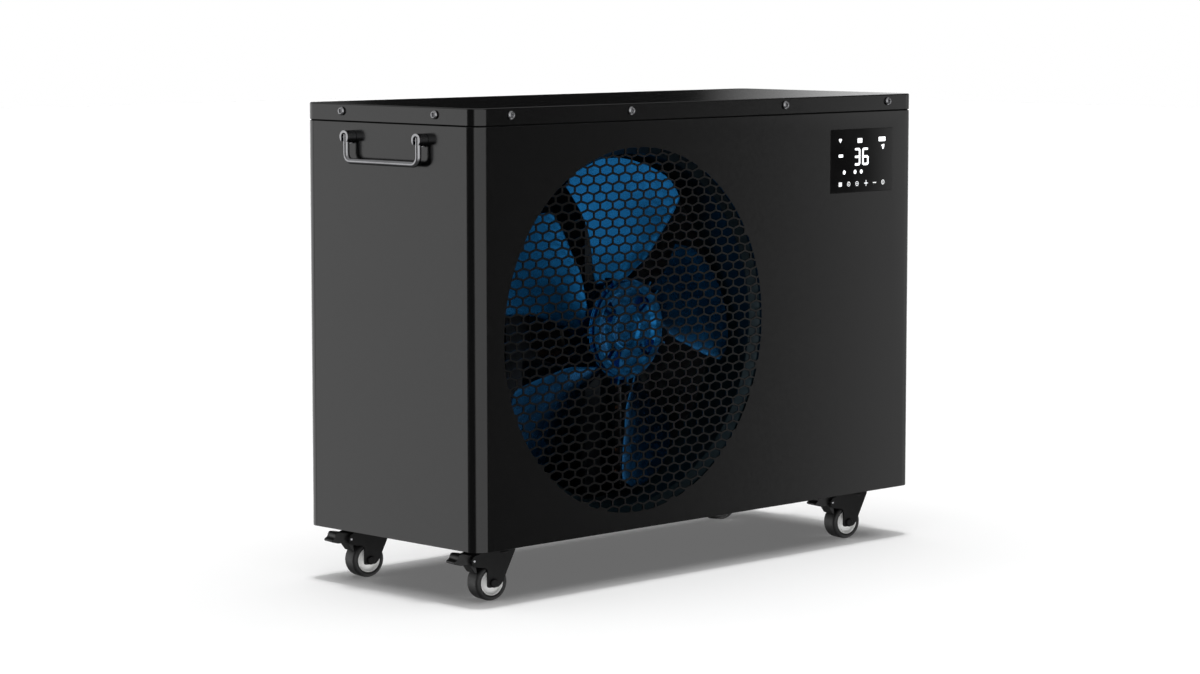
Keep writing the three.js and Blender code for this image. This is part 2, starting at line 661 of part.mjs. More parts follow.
function accumulator() {
  const reach = COMPRESSOR_R + ACCUMULATOR_R + 3;
  const angle = Math.PI * 0.72;
  const tank = domedTank(ACCUMULATOR_R, ACCUMULATOR_H, 14);
  const pipe = disc(5, ACCUMULATOR_H - 4, ACCUMULATOR_H + 26, 12);
  return join(tank, pipe).translate([
    COMPRESSOR_X + reach * Math.cos(angle), COMPRESSOR_Y + reach * Math.sin(angle), TRAY_FLOOR + 50,
  ]);
}

function heatExchanger() {
  const z0 = TRAY_FLOOR + FIT;
  let solid = turned([
    [0, 0], [EXCHANGER_R + 4, 0], [EXCHANGER_R + 4, 14], [EXCHANGER_R, 16], [EXCHANGER_R, EXCHANGER_H - 16],
    [EXCHANGER_R + 4, EXCHANGER_H - 14], [EXCHANGER_R + 4, EXCHANGER_H], [0, EXCHANGER_H],
  ], 24).translate([EXCHANGER_X, EXCHANGER_Y, z0]);
  const end = BACK - SHEET - STUB_SHORT;
  for (const z of UNION_Z) {
    const place = [UNION_X, 0, FLOOR_GAP + z];
    const stub = alongY(disc(UNION_BORE_R - 1, EXCHANGER_Y, end, 16));
    const bore = alongY(disc(UNION_BORE_R - 4, EXCHANGER_Y + EXCHANGER_R - 6, end + 1, 16));
    solid = solid.add(stub.translate(place)).subtract(bore.translate(place));
  }
  return solid;
}

function controlBox() {
  const x0 = PARTITION_X + 24;
  const z1 = PANEL_TOP - 8;
  const y0 = FRONT + DISPLAY_DEEP + 6;
  return box(x0, x0 + CONTROL_W, y0, y0 + CONTROL_DEEP, z1 - CONTROL_H, z1)
    .subtract(box(x0 + 3, x0 + CONTROL_W - 3, y0 + 3, y0 + CONTROL_DEEP - 3, z1 - CONTROL_H + 3, z1 + 1));
}

function waterUnion() {
  const inside = -12;
  const collar = 5;
  const pipeEnd = UNION_REACH - 10;
  const profile = [
    [UNION_BORE_R, inside], [UNION_PIPE_R, inside], [UNION_PIPE_R, FIT], [UNION_NUT_R - 3, FIT],
    [UNION_NUT_R - 3, collar], [UNION_PIPE_R + 1, collar], [UNION_PIPE_R + 1, pipeEnd - UNION_NUT_LONG],
    [UNION_NUT_R, pipeEnd - UNION_NUT_LONG + 2], [UNION_NUT_R, pipeEnd], [UNION_PIPE_R, pipeEnd + 2],
    [UNION_PIPE_R, UNION_REACH], [UNION_BORE_R, UNION_REACH], [UNION_BORE_R, inside],
  ];
  return alongY(turned(profile, 20));
}

function cableGland() {
  return alongY(turned([
    [0, -10], [GLAND_R, -10], [GLAND_R, FIT], [GLAND_NUT_R, FIT], [GLAND_NUT_R, 6], [GLAND_R + 1, 7],
    [GLAND_R + 1, 12], [GLAND_R - 2, 18], [0, 18],
  ], 12)).translate([GLAND_X, BACK, FLOOR_GAP + GLAND_Z]);
}

function drainSpout() {
  const neck = SPOUT_BORE_R + SHEET;
  return turned([
    [SPOUT_BORE_R, SHEET + 3], [neck, SHEET + 3], [neck, -FIT], [SPOUT_R, -FIT], [SPOUT_R, -SPOUT_LONG + 3],
    [SPOUT_R - 2, -SPOUT_LONG], [SPOUT_BORE_R, -SPOUT_LONG], [SPOUT_BORE_R, SHEET + 3],
  ], 18).translate([SPOUT_X, SPOUT_Y, FLOOR_GAP]);
}

function addWorks(unit) {
  unit.add(
    piece('evaporator_coil', evaporatorCoil(), ALUMINIUM()),
    piece('partition_wall', partitionWall(), GALVANISED()),
    piece('compressor', compressor(), BLACK_STEEL()),
    piece('accumulator', accumulator(), BLACK_STEEL()),
    piece('heat_exchanger', heatExchanger(), GREY_PLASTIC()),
    piece('control_box', controlBox(), GALVANISED()),
    piece('cable_gland', cableGland(), BLACK_PLASTIC()),
    piece('drain_spout', drainSpout(), BLACK_PLASTIC()),
  );
  ['outlet', 'inlet'].forEach((word, index) => {
    const place = [UNION_X, BACK, FLOOR_GAP + UNION_Z[index]];
    unit.add(piece(`water_${word}_union`, waterUnion().translate(place), BLACK_PLASTIC()));
  });
}

// ---------------------------------------------------------------- casters
// Everything here is drawn about the kingpin: the tray's underside is at z = 0 and the wheel is at -X.
const AXLE_Z = TYRE_R - FLOOR_GAP;
const SHOE_LONG = shoeReach(PEDAL_PIN_X + TRAIL, PEDAL_PIN_Z - AXLE_Z, TYRE_R + SHOE_GAP);
const CHEEK_IN = TYRE_W / 2 + WHEEL_SIDE_GAP;
const CHEEK_OUT = CHEEK_IN + FORK_SHEET;

// Reach from the pedal's pin, at x and z from the axle, to the circle of this radius about the axle.
function shoeReach(x, z, radius) {
  const nearest = -(x * Math.cos(SHOE_ANGLE) + z * Math.sin(SHOE_ANGLE));
  return nearest - Math.sqrt(nearest ** 2 - (x ** 2 + z ** 2 - radius ** 2));
}

function casterPlate() {
  const race = -FORK_TOP + FIT;
  const web = -FORK_TOP - FORK_SHEET;
  const plate = box(-PLATE_HALF, PLATE_HALF, -PLATE_HALF, PLATE_HALF, -FIT - PLATE_THICK, -FIT);
  const pin = turned([
    [0, -FIT - PLATE_THICK + 0.5], [RACE_R, -FIT - PLATE_THICK + 0.5], [RACE_R, race], [KINGPIN_R, race],
    [KINGPIN_R, web - FIT], [KINGPIN_R + 3, web - FIT], [KINGPIN_R + 2, web - FIT - 2.5],
    [0, web - FIT - 2.5],
  ], 16);
  return plate.add(pin);
}

function fork() {
  const cheek = polygon([
    [14.2, -FORK_TOP], [0.7, -33.1], [-1.8, -38.8], [-7, AXLE_Z - 4.6], [-21, AXLE_Z - 4.6], [-21, -25],
    [-24, -22.5], [-32, -21.6], [PEDAL_PIN_X - 1, -20], [PEDAL_PIN_X - 3.4, PEDAL_PIN_Z],
    [PEDAL_PIN_X - 1, -9.6], [-24, -FORK_TOP],
  ]);
  const web = -FORK_TOP - FORK_SHEET;
  const top = box(-24, 14.2, -CHEEK_OUT, CHEEK_OUT, web, -FORK_TOP);
  const sides = join(across(cheek, -CHEEK_OUT, -CHEEK_IN), across(cheek, CHEEK_IN, CHEEK_OUT));
  const axleHole = alongY(disc(AXLE_R + FIT, -CHEEK_OUT - 1, CHEEK_OUT + 1, 12));
  const pedalHole = alongY(disc(PEDAL_PIN_R + FIT, -CHEEK_OUT - 1, CHEEK_OUT + 1, 8));
  return join(top, sides)
    .subtract(disc(KINGPIN_R + FIT, web - 1, -FORK_TOP + 1, 16))
    .subtract(axleHole.translate([-TRAIL, 0, AXLE_Z]))
    .subtract(pedalHole.translate([PEDAL_PIN_X, 0, PEDAL_PIN_Z]));
}

function tyre() {
  const half = TYRE_W / 2;
  const inner = WHEEL_HUB_R + FIT;
  const profile = [[inner, -half + 1], [TYRE_R - TYRE_EDGE, -half]];
  for (const angle of [45, 90]) {
    const a = angle * Math.PI / 180;
    const radius = TYRE_R - TYRE_EDGE * (1 - Math.sin(a));
    profile.push([radius, -half + TYRE_EDGE * (1 - Math.cos(a))]);
  }
  const mirrored = profile.map(([radius, y]) => [radius, -y]).reverse();
  return alongY(turned([...profile, ...mirrored, profile[0]], 20));
}

function wheelHub() {
  const half = TYRE_W / 2 - 0.6;
  const bore = AXLE_R + FIT;
  const dish = 3;
  return alongY(turned([
    [bore, -half], [6, -half], [8, -half + dish], [WHEEL_HUB_R - 2, -half + dish], [WHEEL_HUB_R, -half],
    [WHEEL_HUB_R, half], [WHEEL_HUB_R - 2, half - dish], [8, half - dish], [6, half], [bore, half],
    [bore, -half],
  ], 16));
}

function axle() {
  const head = CHEEK_OUT + FIT;
  return alongY(turned([
    [0, -head - 2.4], [4.4, -head - 2.4], [4.8, -head - 1.6], [4.8, -head], [AXLE_R, -head],
    [AXLE_R, head], [5, head], [5, head + 3], [AXLE_R, head + 3.6], [0, head + 3.6],
  ], 12));
}

// Foot pedal about its own pin: a paddle behind and a brake shoe that swings towards the tread.
function brakePedal() {
  const tip = [SHOE_LONG * Math.cos(SHOE_ANGLE), SHOE_LONG * Math.sin(SHOE_ANGLE)];
  const side = [-Math.sin(SHOE_ANGLE) * 1.6, Math.cos(SHOE_ANGLE) * 1.6];
  const paddle = polygon([
    [4, 3], [-1, 5.6], [-10.5, 7.6], [-15, 8], [-17, 5.4], [-17.6, 2.2], [-21.5, 0], [-21.5, -2.2],
    [-13, -4.4], [-3, -4.2], [tip[0] - side[0], tip[1] - side[1]],
    [tip[0] + side[0] * 0.4, tip[1] + side[1] * 0.4], [4.6, -3],
  ]);
  const pin = alongY(disc(PEDAL_PIN_R, -CHEEK_OUT - 0.6, CHEEK_OUT + 0.6, 8));
  return across(paddle, -PEDAL_W / 2, PEDAL_W / 2).add(pin);
}

function addCasters(unit) {
  const corners = [
    ['front_left', -1, -1], ['front_right', 1, -1], ['rear_left', -1, 1], ['rear_right', 1, 1],
  ];
  for (const [word, sideX, sideY] of corners) {
    const caster = new THREE.Group();
    caster.position.set(sideX * (HALF_W - CASTER_IN_X), sideY * (HALF_D - CASTER_IN_Y), FLOOR_GAP);
    caster.rotation.z = CASTER_YAW;
    const wheel = new THREE.Group();
    wheel.position.set(-TRAIL, 0, AXLE_Z);
    wheel.add(
      piece(`${word}_tyre`, tyre(), RUBBER()),
      piece(`${word}_wheel_hub`, wheelHub(), GREY_PLASTIC()),
      piece(`${word}_axle`, axle(), BLACK_STEEL()),
    );
    const pedal = piece(`${word}_brake_pedal`, brakePedal(), BLACK_PLASTIC());
    pedal.position.set(PEDAL_PIN_X, 0, PEDAL_PIN_Z);
    caster.add(
      piece(`${word}_caster_plate`, casterPlate(), BLACK_STEEL()),
      piece(`${word}_fork`, fork(), BLACK_STEEL()),
      wheel,
      pedal,
    );
    unit.add(caster);
  }
}

// ---------------------------------------------------------------- assembly
// The origin is on the floor under the middle of the whole outline, screws and unions included.
const unit = new THREE.Group();
unit.position.y = -(BACK_REACH - FRONT_REACH) / 2;
addCasing(unit);
addHandles(unit);
addFan(unit);
addWorks(unit);
addCasters(unit);

export default unit;
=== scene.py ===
"""Looks of a portable pool heat pump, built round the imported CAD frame.

The frame is in metres, +Z up, and the front faces -Y. Shapes are drawn in millimetres in a frame of
their own, and a place matrix carries them into the frame.
"""

import math
from functools import partial

import bmesh
import bpy
from mathutils import Matrix, Vector
from mathutils.geometry import delaunay_2d_cdt


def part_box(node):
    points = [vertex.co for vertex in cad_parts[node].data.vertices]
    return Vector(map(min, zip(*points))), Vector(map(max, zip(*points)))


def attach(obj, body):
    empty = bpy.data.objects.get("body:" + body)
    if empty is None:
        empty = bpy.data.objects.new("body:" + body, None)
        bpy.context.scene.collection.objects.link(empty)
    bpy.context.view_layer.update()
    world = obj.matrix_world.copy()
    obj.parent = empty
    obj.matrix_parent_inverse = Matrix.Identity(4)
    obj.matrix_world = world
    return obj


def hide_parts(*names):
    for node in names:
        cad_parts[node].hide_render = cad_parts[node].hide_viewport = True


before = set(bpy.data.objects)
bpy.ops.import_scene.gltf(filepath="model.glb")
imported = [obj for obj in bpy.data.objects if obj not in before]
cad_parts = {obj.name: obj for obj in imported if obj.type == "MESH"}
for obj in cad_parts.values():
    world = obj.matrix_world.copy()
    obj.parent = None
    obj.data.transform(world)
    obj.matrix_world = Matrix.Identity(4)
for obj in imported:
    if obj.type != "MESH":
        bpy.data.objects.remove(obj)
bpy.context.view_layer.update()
scene = bpy.context.scene

# ---------------------------------------------------------------- sizes in millimetres
MM = 0.001
SHEET = 1.2
FIT = 0.3
SEAM = 1.4                    # wider than the CAD's 0.6, so that the line under the lid is seen
CORNER_R = 15
CORNER_STEPS = 10
FOLD_R = 1.6                  # folded edge round the lid's top
HEM = 0.25                    # eased edge of the cut sheet
TONGUE = 26

OUTLET_R = 197
PUNCH_PITCH_X = 18.8
PUNCH_PITCH_Z = 9.42
PUNCH_WEB = 2.3
PUNCH_SLOPE = math.radians(17.2)
PUNCH_EASE = 0.2              # rounding of a punched edge
SMALLEST_HOLE = 9             # area under which a clipped hole isn't punched

DISPLAY_W = 107
DISPLAY_H = 71.6
DISPLAY_PROUD = 0.4

SCREW_HEAD_R = 4.65
SCREW_HEAD_H = 3.1
SCREW_R = 2.4

HANDLE_SPAN = 114.4
BOSS_R = 6.7
BOSS_LONG = 12.2
BOSS_BORE_R = 4.2
BOSS_BORE_DEEP = 8.2
BAIL_R = 3.2
BAIL_OUT = 8.4
BAIL_DROP = 25.6
BAIL_BEND = 8
TRUNNION_R = 1.5

FAN_R = 184
HUB_R = 52
HUB_RIM_R = 55
HUB_LONG = 48
BLADES = 5
BLADE_START = 83
BLADE_THICK = 2.2
BLADE_CAMBER = 3
BLADE_DEEP = 14
POCKETS = 4
POCKET_START = 55

TYRE_R = 19.4
TYRE_W = 22
TYRE_EDGE = 4
WHEEL_HUB_R = 13.5
AXLE_R = 3
FORK_SHEET = 1.8
FORK_TOP = 5
CHEEK_IN = TYRE_W / 2 + 0.8
CHEEK_OUT = CHEEK_IN + FORK_SHEET
PEDAL_W = 17
PEDAL_PIN_R = 1.5
SHOE_LONG = 15.2
SHOE_ANGLE = math.radians(-66.7)


# ---------------------------------------------------------------- places, read from the frame
def middle(node):
    low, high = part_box(node)
    return (low + high) / 2


lid_low, lid_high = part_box("lid")
HALF_W = lid_high.x
FRONT = lid_low.y
BACK = lid_high.y
MIDDLE_Y = (FRONT + BACK) / 2
TOP = lid_high.z
SKIRT = lid_low.z
FLOOR_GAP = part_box("base_tray")[0].z
FAN = Vector((middle("fan_shroud").x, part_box("fan_rotor")[0].y, middle("fan_shroud").z))
CASTERS = ("front_left", "front_right", "rear_left", "rear_right")


def place(x, y, z, turn=None):
    """Carries a shape drawn in millimetres to this point of the frame."""
    matrix = Matrix.Translation((x, y, z)) @ Matrix.Scale(MM, 4)
    return matrix @ turn if turn else matrix


TO_Y = Matrix.Rotation(-math.pi / 2, 4, "X")      # turns +Z to +Y
TO_MINUS_Y = Matrix.Rotation(math.pi / 2, 4, "X")
TO_X = Matrix.Rotation(math.pi / 2, 4, "Y")
TO_MINUS_X = Matrix.Rotation(-math.pi / 2, 4, "Y")


# ---------------------------------------------------------------- materials
class Nodes:
    """A small hand for building a material's node tree."""

    def __init__(self, name):
        self.material = bpy.data.materials.new(name)
        self.material.use_nodes = True
        self.tree = self.material.node_tree
        self.shader = self.tree.nodes["Principled BSDF"]
        self.where = self.add("ShaderNodeTexCoord").outputs["Object"]

    def add(self, kind, **settings):
        node = self.tree.nodes.new(kind)
        for key, value in settings.items():
            setattr(node, key, value)
        return node

    def link(self, output, socket):
        self.tree.links.new(output, socket)

    def noise(self, scale, detail=3.0, stretch=(1, 1, 1)):
        mapping = self.add("ShaderNodeMapping")
        mapping.inputs["Scale"].default_value = stretch
        self.link(self.where, mapping.inputs["Vector"])
        noise = self.add("ShaderNodeTexNoise")
        noise.inputs["Scale"].default_value = scale
        noise.inputs["Detail"].default_value = detail
        self.link(mapping.outputs["Vector"], noise.inputs["Vector"])
        return noise.outputs["Fac"]

    def ranged(self, value, low, high, from_low=0.3, from_high=0.7):
        remap = self.add("ShaderNodeMapRange")
        self.link(value, remap.inputs["Value"])
        remap.inputs["From Min"].default_value = from_low
        remap.inputs["From Max"].default_value = from_high
        remap.inputs["To Min"].default_value = low
        remap.inputs["To Max"].default_value = high
        return remap.outputs["Result"]

    def mixed(self, share, first, second):
        mix = self.add("ShaderNodeMix", data_type="RGBA")
        self.link(share, mix.inputs["Factor"])
        for value, socket in ((first, mix.inputs["A"]), (second, mix.inputs["B"])):
            if hasattr(value, "links"):
                self.link(value, socket)
            else:
                socket.default_value = (*value, 1)
        return mix.outputs["Result"]

    def bump(self, height, distance, strength, below=None):
        bump = self.add("ShaderNodeBump")
        bump.inputs["Strength"].default_value = strength
        bump.inputs["Distance"].default_value = distance
        self.link(height, bump.inputs["Height"])
        if below is not None:
            self.link(below, bump.inputs["Normal"])
        return bump.outputs["Normal"]


def finish(name, colour, roughness, metallic=0.0, shift=0.15, grain=900, relief=0.00003, strength=0.3,
           spread=0.05, brushed=(1, 1, 1), worn=0.0, ior=1.5, coat=0.0):
    """A material whose colour drifts, whose gloss is uneven and whose surface has a fine relief."""
    n = Nodes(name)
    drift = n.noise(14, 4)
    darker = [c * (1 - shift) for c in colour]
    lighter = [min(1.0, c * (1 + shift)) for c in colour]
    tone = n.mixed(n.ranged(drift, 0, 1), darker, lighter)
    if worn:
        edge = n.add("ShaderNodeNewGeometry").outputs["Pointiness"]
        share = n.ranged(edge, 0, worn, 0.54, 0.62)
        tone = n.mixed(share, tone, [min(1.0, c * 2.2 + 0.05) for c in colour])
    n.link(tone, n.shader.inputs["Base Color"])
    streaks = n.noise(grain / 6, 2, brushed)
    n.link(n.ranged(streaks, roughness - spread, roughness + spread), n.shader.inputs["Roughness"])
    fine = n.bump(n.noise(grain, 2, brushed), relief, strength)
    n.link(fine, n.shader.inputs["Normal"])
    n.shader.inputs["Metallic"].default_value = metallic
    n.shader.inputs["IOR"].default_value = ior
    n.shader.inputs["Coat Weight"].default_value = coat
    n.shader.inputs["Coat Roughness"].default_value = 0.12
    return n.material


def glowing(name, strength):
    """A backlit legend under the glass, its tone drifting a little from place to place."""
    n = Nodes(name)
    tone = n.mixed(n.ranged(n.noise(260, 2), 0, 1), (0.86, 0.9, 0.92), (1.0, 1.0, 1.0))
    n.link(tone, n.shader.inputs["Base Color"])
    n.link(tone, n.shader.inputs["Emission Color"])
    n.shader.inputs["Emission Strength"].default_value = strength
    n.shader.inputs["Roughness"].default_value = 0.3
    return n.material


PAINT = finish("satin_black_paint", (0.0018, 0.0018, 0.0019), 0.175, spread=0.015, grain=1500,
               relief=0.00001, strength=0.08, shift=0.12)
GLASS = finish("black_glass", (0.003, 0.003, 0.0035), 0.045, spread=0.015, grain=120, relief=0.000004,
               strength=0.1)
HARDWARE = finish("dark_satin_steel", (0.3, 0.3, 0.31), 0.22, 1.0, grain=1400, relief=0.00001, worn=0.3,
                  strength=0.2, brushed=(1, 1, 0.15))
BLACK_STEEL = finish("black_coated_steel", (0.004, 0.004, 0.0042), 0.5, 0.0, grain=1100, worn=0.1,
                     relief=0.00002, ior=1.3)
# Painted shade: a matte near-black on the tongues behind the seams and inside the handle bores, standing in
# for the shade there.
PAINTED_SHADE = finish("seam_shade", (0.0015, 0.0015, 0.0015), 0.8, grain=900, ior=1.2)
BLUE = finish("fan_blue_plastic", (0.007, 0.1, 0.26), 0.26, 0.95, grain=500, shift=0.08, relief=0.00002)
# Black plastic with a painted reflection: the teal tint stands in for the blue blades seen in the shroud.
SHROUD_WITH_PAINTED_REFLECTION = finish("shroud_plastic_painted_blue_reflection", (0.003, 0.014, 0.02), 0.42, 0.5, grain=900, relief=0.00003)
BLACK_PLASTIC = finish("black_moulded_plastic", (0.006, 0.006, 0.0062), 0.45, grain=1600, relief=0.00004,
                       strength=0.35)
GREY_PLASTIC = finish("grey_moulded_plastic", (0.3, 0.31, 0.32), 0.5, grain=1200, relief=0.00003)
WHITE_NYLON = finish("white_nylon", (0.86, 0.86, 0.85), 0.42, grain=900, shift=0.05, relief=0.00003)
RUBBER = finish("tyre_rubber", (0.009, 0.009, 0.0093), 0.5, grain=1500, relief=0.00005, strength=0.4)
ZINC = finish("galvanised_sheet", (0.42, 0.44, 0.46), 0.38, 0.9, grain=160, shift=0.25, relief=0.00002,
              spread=0.12)
DARK_ZINC = finish("coated_bracket", (0.05, 0.06, 0.07), 0.5, 0.7, grain=300, shift=0.2, relief=0.00002)
FINS = finish("coated_fins", (0.02, 0.05, 0.08), 0.45, 0.6, grain=700, shift=0.15, relief=0.00002)
COPPER = finish("copper_tube", (0.62, 0.28, 0.16), 0.3, 1.0, grain=300, shift=0.2, relief=0.00002)
ENAMEL = finish("black_enamel", (0.014, 0.014, 0.015), 0.3, grain=500, relief=0.00004)
LEGEND = glowing("legend_bright", 1.1)
LEGEND_DIM = glowing("legend_dim", 0.42)


# ---------------------------------------------------------------- drawing in the plane
def arc(centre, radius, start, end, steps):
    """Points of an arc, angles in degrees."""
    turns = [math.radians(start + (end - start) * i / steps) for i in range(steps + 1)]
    return [(centre[0] + radius * math.cos(a), centre[1] + radius * math.sin(a)) for a in turns]


def eased(points, radius, steps=3, closed=True):
    """The same outline with its corners rounded off."""
    done = []
    count = len(points)
    for i, point in enumerate(points):
        if not closed and i in (0, count - 1):
            done.append(tuple(point))
            continue
        here = Vector(point)
        before = Vector(points[i - 1]) - here
        after = Vector(points[(i + 1) % count]) - here
        start = here + before.normalized() * min(radius, before.length * 0.45)
        end = here + after.normalized() * min(radius, after.length * 0.45)
        for step in range(steps + 1):
            t = step / steps
            done.append(tuple(start * (1 - t) ** 2 + here * 2 * t * (1 - t) + end * t * t))
    return done


def rounded(half_x, half_y, radius, steps=6):
    """A rectangle with arcs for corners, counter-clockwise."""
    x, y = half_x - radius, half_y - radius
    return (arc((x, -y), radius, -90, 0, steps) + arc((x, y), radius, 0, 90, steps)
            + arc((-x, y), radius, 90, 180, steps) + arc((-x, -y), radius, 180, 270, steps))


def circle(radius, steps=48, centre=(0, 0)):
    return arc(centre, radius, 0, 360, steps)[:-1]


def area(outline):
    pairs = zip(outline, outline[1:] + outline[:1])
    return sum(a[0] * b[1] - b[0] * a[1] for a, b in pairs) / 2


def grown(outline, by):
    """A counter-clockwise outline moved outwards all round."""
    done = []
    for i, point in enumerate(outline):
        before = Vector(point) - Vector(outline[i - 1])
        after = Vector(outline[(i + 1) % len(outline)]) - Vector(point)
        first = Vector((before.y, -before.x)).normalized()
        second = Vector((after.y, -after.x)).normalized()
        done.append(tuple(Vector(point) + (first + second) * (by / (1 + first.dot(second)))))
    return done


def clipped(outline, clip):
    """The part of a convex outline inside another convex one, both counter-clockwise."""
    kept = outline
    for a, b in zip(clip, clip[1:] + clip[:1]):
        along = (b[0] - a[0], b[1] - a[1])
        side = [along[0] * (p[1] - a[1]) - along[1] * (p[0] - a[0]) for p in kept]
        cut = []
        for i, point in enumerate(kept):
            before, from_side = kept[i - 1], side[i - 1]
            if (side[i] > 0) != (from_side > 0):
                t = from_side / (from_side - side[i])
                cut.append(tuple(Vector(before).lerp(Vector(point), t)))
            if side[i] > 0:
                cut.append(point)
        kept = cut
        if not kept:
            break
    return kept


# ---------------------------------------------------------------- building meshes
def skin(bm, rings, closed=False):
    """Joins rings of points with faces. A ring of one point is a tip, and open ends are capped."""
    made = [[bm.verts.new(point) for point in ring] for ring in rings]
    for a, b in zip(made, made[1:] + (made[:1] if closed else [])):
        count = max(len(a), len(b))
        for i in range(count):
            j = (i + 1) % count
            corners = [a[i % len(a)], a[j % len(a)], b[j % len(b)], b[i % len(b)]]
            bm.faces.new(list(dict.fromkeys(corners)))
    if not closed:
        for end in (made[0], made[-1]):
            if len(end) > 2:
                bm.faces.new(end)


def moved(bm, matrix, since=0):
    """Moves the points that were added after the first ones."""
    bm.verts.ensure_lookup_table()
    bmesh.ops.transform(bm, matrix=matrix, verts=bm.verts[since:])


def turned(bm, profile, matrix, segments=64, closed=False):
    """A turned solid about Z. A profile point is (radius, height), and may add a shape: angle to factor."""
    since = len(bm.verts)
    rings = []
    for radius, height, *shape in profile:
        ring = []
        for i in range(segments if radius > 1e-6 else 1):
            angle = 2 * math.pi * i / segments
            reach = radius * (shape[0](angle) if shape else 1)
            ring.append((reach * math.cos(angle), reach * math.sin(angle), height))
        rings.append(ring)
    skin(bm, rings, closed)
    moved(bm, matrix, since)


def prism(bm, outline, low, high, matrix):
    """An outline in X and Y drawn out along Z."""
    since = len(bm.verts)
    skin(bm, [[(x, y, z) for x, y in outline] for z in (low, high)])
    moved(bm, matrix, since)


def swept(bm, path, radius, matrix, sides=20):
    """A round bar along a path that lies in the YZ plane."""
    since = len(bm.verts)
    rings = []
    points = [Vector(p) for p in path]
    for i, point in enumerate(points):
        along = (points[min(i + 1, len(points) - 1)] - points[max(i - 1, 0)]).normalized()
        across = Vector((-along.y, along.x))
        ring = []
        for k in range(sides):
            angle = 2 * math.pi * k / sides
            offset = across * (radius * math.sin(angle))
            ring.append((radius * math.cos(angle), point.x + offset.x, point.y + offset.y))
        rings.append(ring)
    skin(bm, rings)
    moved(bm, matrix, since)


def soften(bm, width, angle=32, segments=2):
    """Bevels every edge that is sharper than the angle. The width is in the mesh's own units."""
    bmesh.ops.remove_doubles(bm, verts=bm.verts, dist=width * 0.02)
    bmesh.ops.recalc_face_normals(bm, faces=bm.faces)
    edges = [e for e in bm.edges if len(e.link_faces) == 2 and e.calc_face_angle(0) > math.radians(angle)]
    bmesh.ops.bevel(bm, geom=edges, offset=width, offset_type="OFFSET", segments=segments, profile=0.6,
                    affect="EDGES", clamp_overlap=True)


def cut(bm, cutter, operation="DIFFERENCE"):
    """One mesh cut by, or joined to, another."""
    objects = []
    for source in (bm, cutter):
        bmesh.ops.recalc_face_normals(source, faces=source.faces)
        mesh = bpy.data.meshes.new("scratch")
        source.to_mesh(mesh)
        source.free()
        objects.append(bpy.data.objects.new("scratch", mesh))
        scene.collection.objects.link(objects[-1])
    modifier = objects[0].modifiers.new("cut", "BOOLEAN")
    modifier.operation = operation
    modifier.solver = "EXACT"
    modifier.object = objects[1]
    shaped = objects[0].evaluated_get(bpy.context.evaluated_depsgraph_get())
    result = bmesh.new()
    result.from_mesh(shaped.to_mesh())
    for scratch in objects:
        mesh = scratch.data
        bpy.data.objects.remove(scratch)
        bpy.data.meshes.remove(mesh)
    return result


def piece(name, bm, body, material, stands_for=(), sharp=42):
    """Makes the mesh an object that rides on a CAD body."""
    bmesh.ops.remove_doubles(bm, verts=bm.verts, dist=1e-7)
    bmesh.ops.recalc_face_normals(bm, faces=bm.faces)
    mesh = bpy.data.meshes.new(name)
    bm.to_mesh(mesh)
    bm.free()
    mesh.polygons.foreach_set("use_smooth", [True] * len(mesh.polygons))
    mesh.set_sharp_from_angle(angle=math.radians(sharp))
    mesh.materials.append(material)
    made = bpy.data.objects.new(name, mesh)
    scene.collection.objects.link(made)
    weighted = made.modifiers.new("normals", "WEIGHTED_NORMAL")
    weighted.keep_sharp = True
    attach(made, body)
    if stands_for:
        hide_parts(*stands_for)
    return made


def dress(node, material, bevel):
    """A CAD node kept as it is, with its own finish and its edges broken."""
    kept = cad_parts[node]
    kept.data.materials.clear()
    kept.data.materials.append(material)
    weld = kept.modifiers.new("weld", "WELD")
    weld.merge_threshold = 0.02 * MM
    edges = kept.modifiers.new("edges", "BEVEL")
    edges.width = bevel * MM
    edges.segments = 2
    edges.limit_method = "ANGLE"
    edges.angle_limit = math.radians(40)


# ---------------------------------------------------------------- casing
def sheet(bm, outline, holes, folds, at, thick=SHEET, ease=HEM):
    """A sheet with holes.

    Outlines are (along, up), folds are lines up the sheet and at(along, up, depth) bends it.
    """
    loops = [outline] + holes
    faces = [grown(outline, -ease)] + [grown(hole, PUNCH_EASE) for hole in holes]
    starts = [sum(len(loop) for loop in loops[:i]) for i in range(len(loops))]
    flat = [point for loop in faces for point in loop]
    rows = [list(range(start, start + len(loop))) for start, loop in zip(starts, loops)]
    points = [Vector(point) for point in flat]
    made, _, triangles, originals, _, kinds = delaunay_2d_cdt(points, folds, rows, 0, 1e-6)
    front = {}
    for index, sources in enumerate(originals):
        for source in sources:
            front[source] = index
    true = [point for loop in loops for point in loop]
    back_of = {front[i]: i for i in range(len(flat))}
    face_points = [bm.verts.new(at(p.x, p.y, 0)) for p in made]
    edge_points = [bm.verts.new(at(*p, ease)) for p in true]
    back_points = [bm.verts.new(at(*p, thick)) for p in true]
    for triangle, kind in zip(triangles, kinds):
        if list(kind) == [0]:
            bm.faces.new([face_points[i] for i in triangle])
            bm.faces.new([back_points[back_of[i]] for i in reversed(triangle)])
    for row in rows:
        for i, j in zip(row, row[1:] + row[:1]):
            bm.faces.new([face_points[front[i]], face_points[front[j]], edge_points[j], edge_points[i]])
            bm.faces.new([edge_points[i], edge_points[j], back_points[j], back_points[i]])


def wrapped(side, inset, along, up, depth):
    """Bends a flat pattern round the casing's two upright corners, in metres."""
    straight = HALF_W / MM - CORNER_R
    radius = CORNER_R - inset - depth
    over = abs(along) - straight
    if over <= 0:
        x, y = along, CORNER_R - radius
    else:
        angle = over / CORNER_R
        x = math.copysign(straight + radius * math.sin(angle), along)
        y = CORNER_R - radius * math.cos(angle)
    face = FRONT if side < 0 else BACK
    return Vector((x * MM, face - side * y * MM, up * MM))


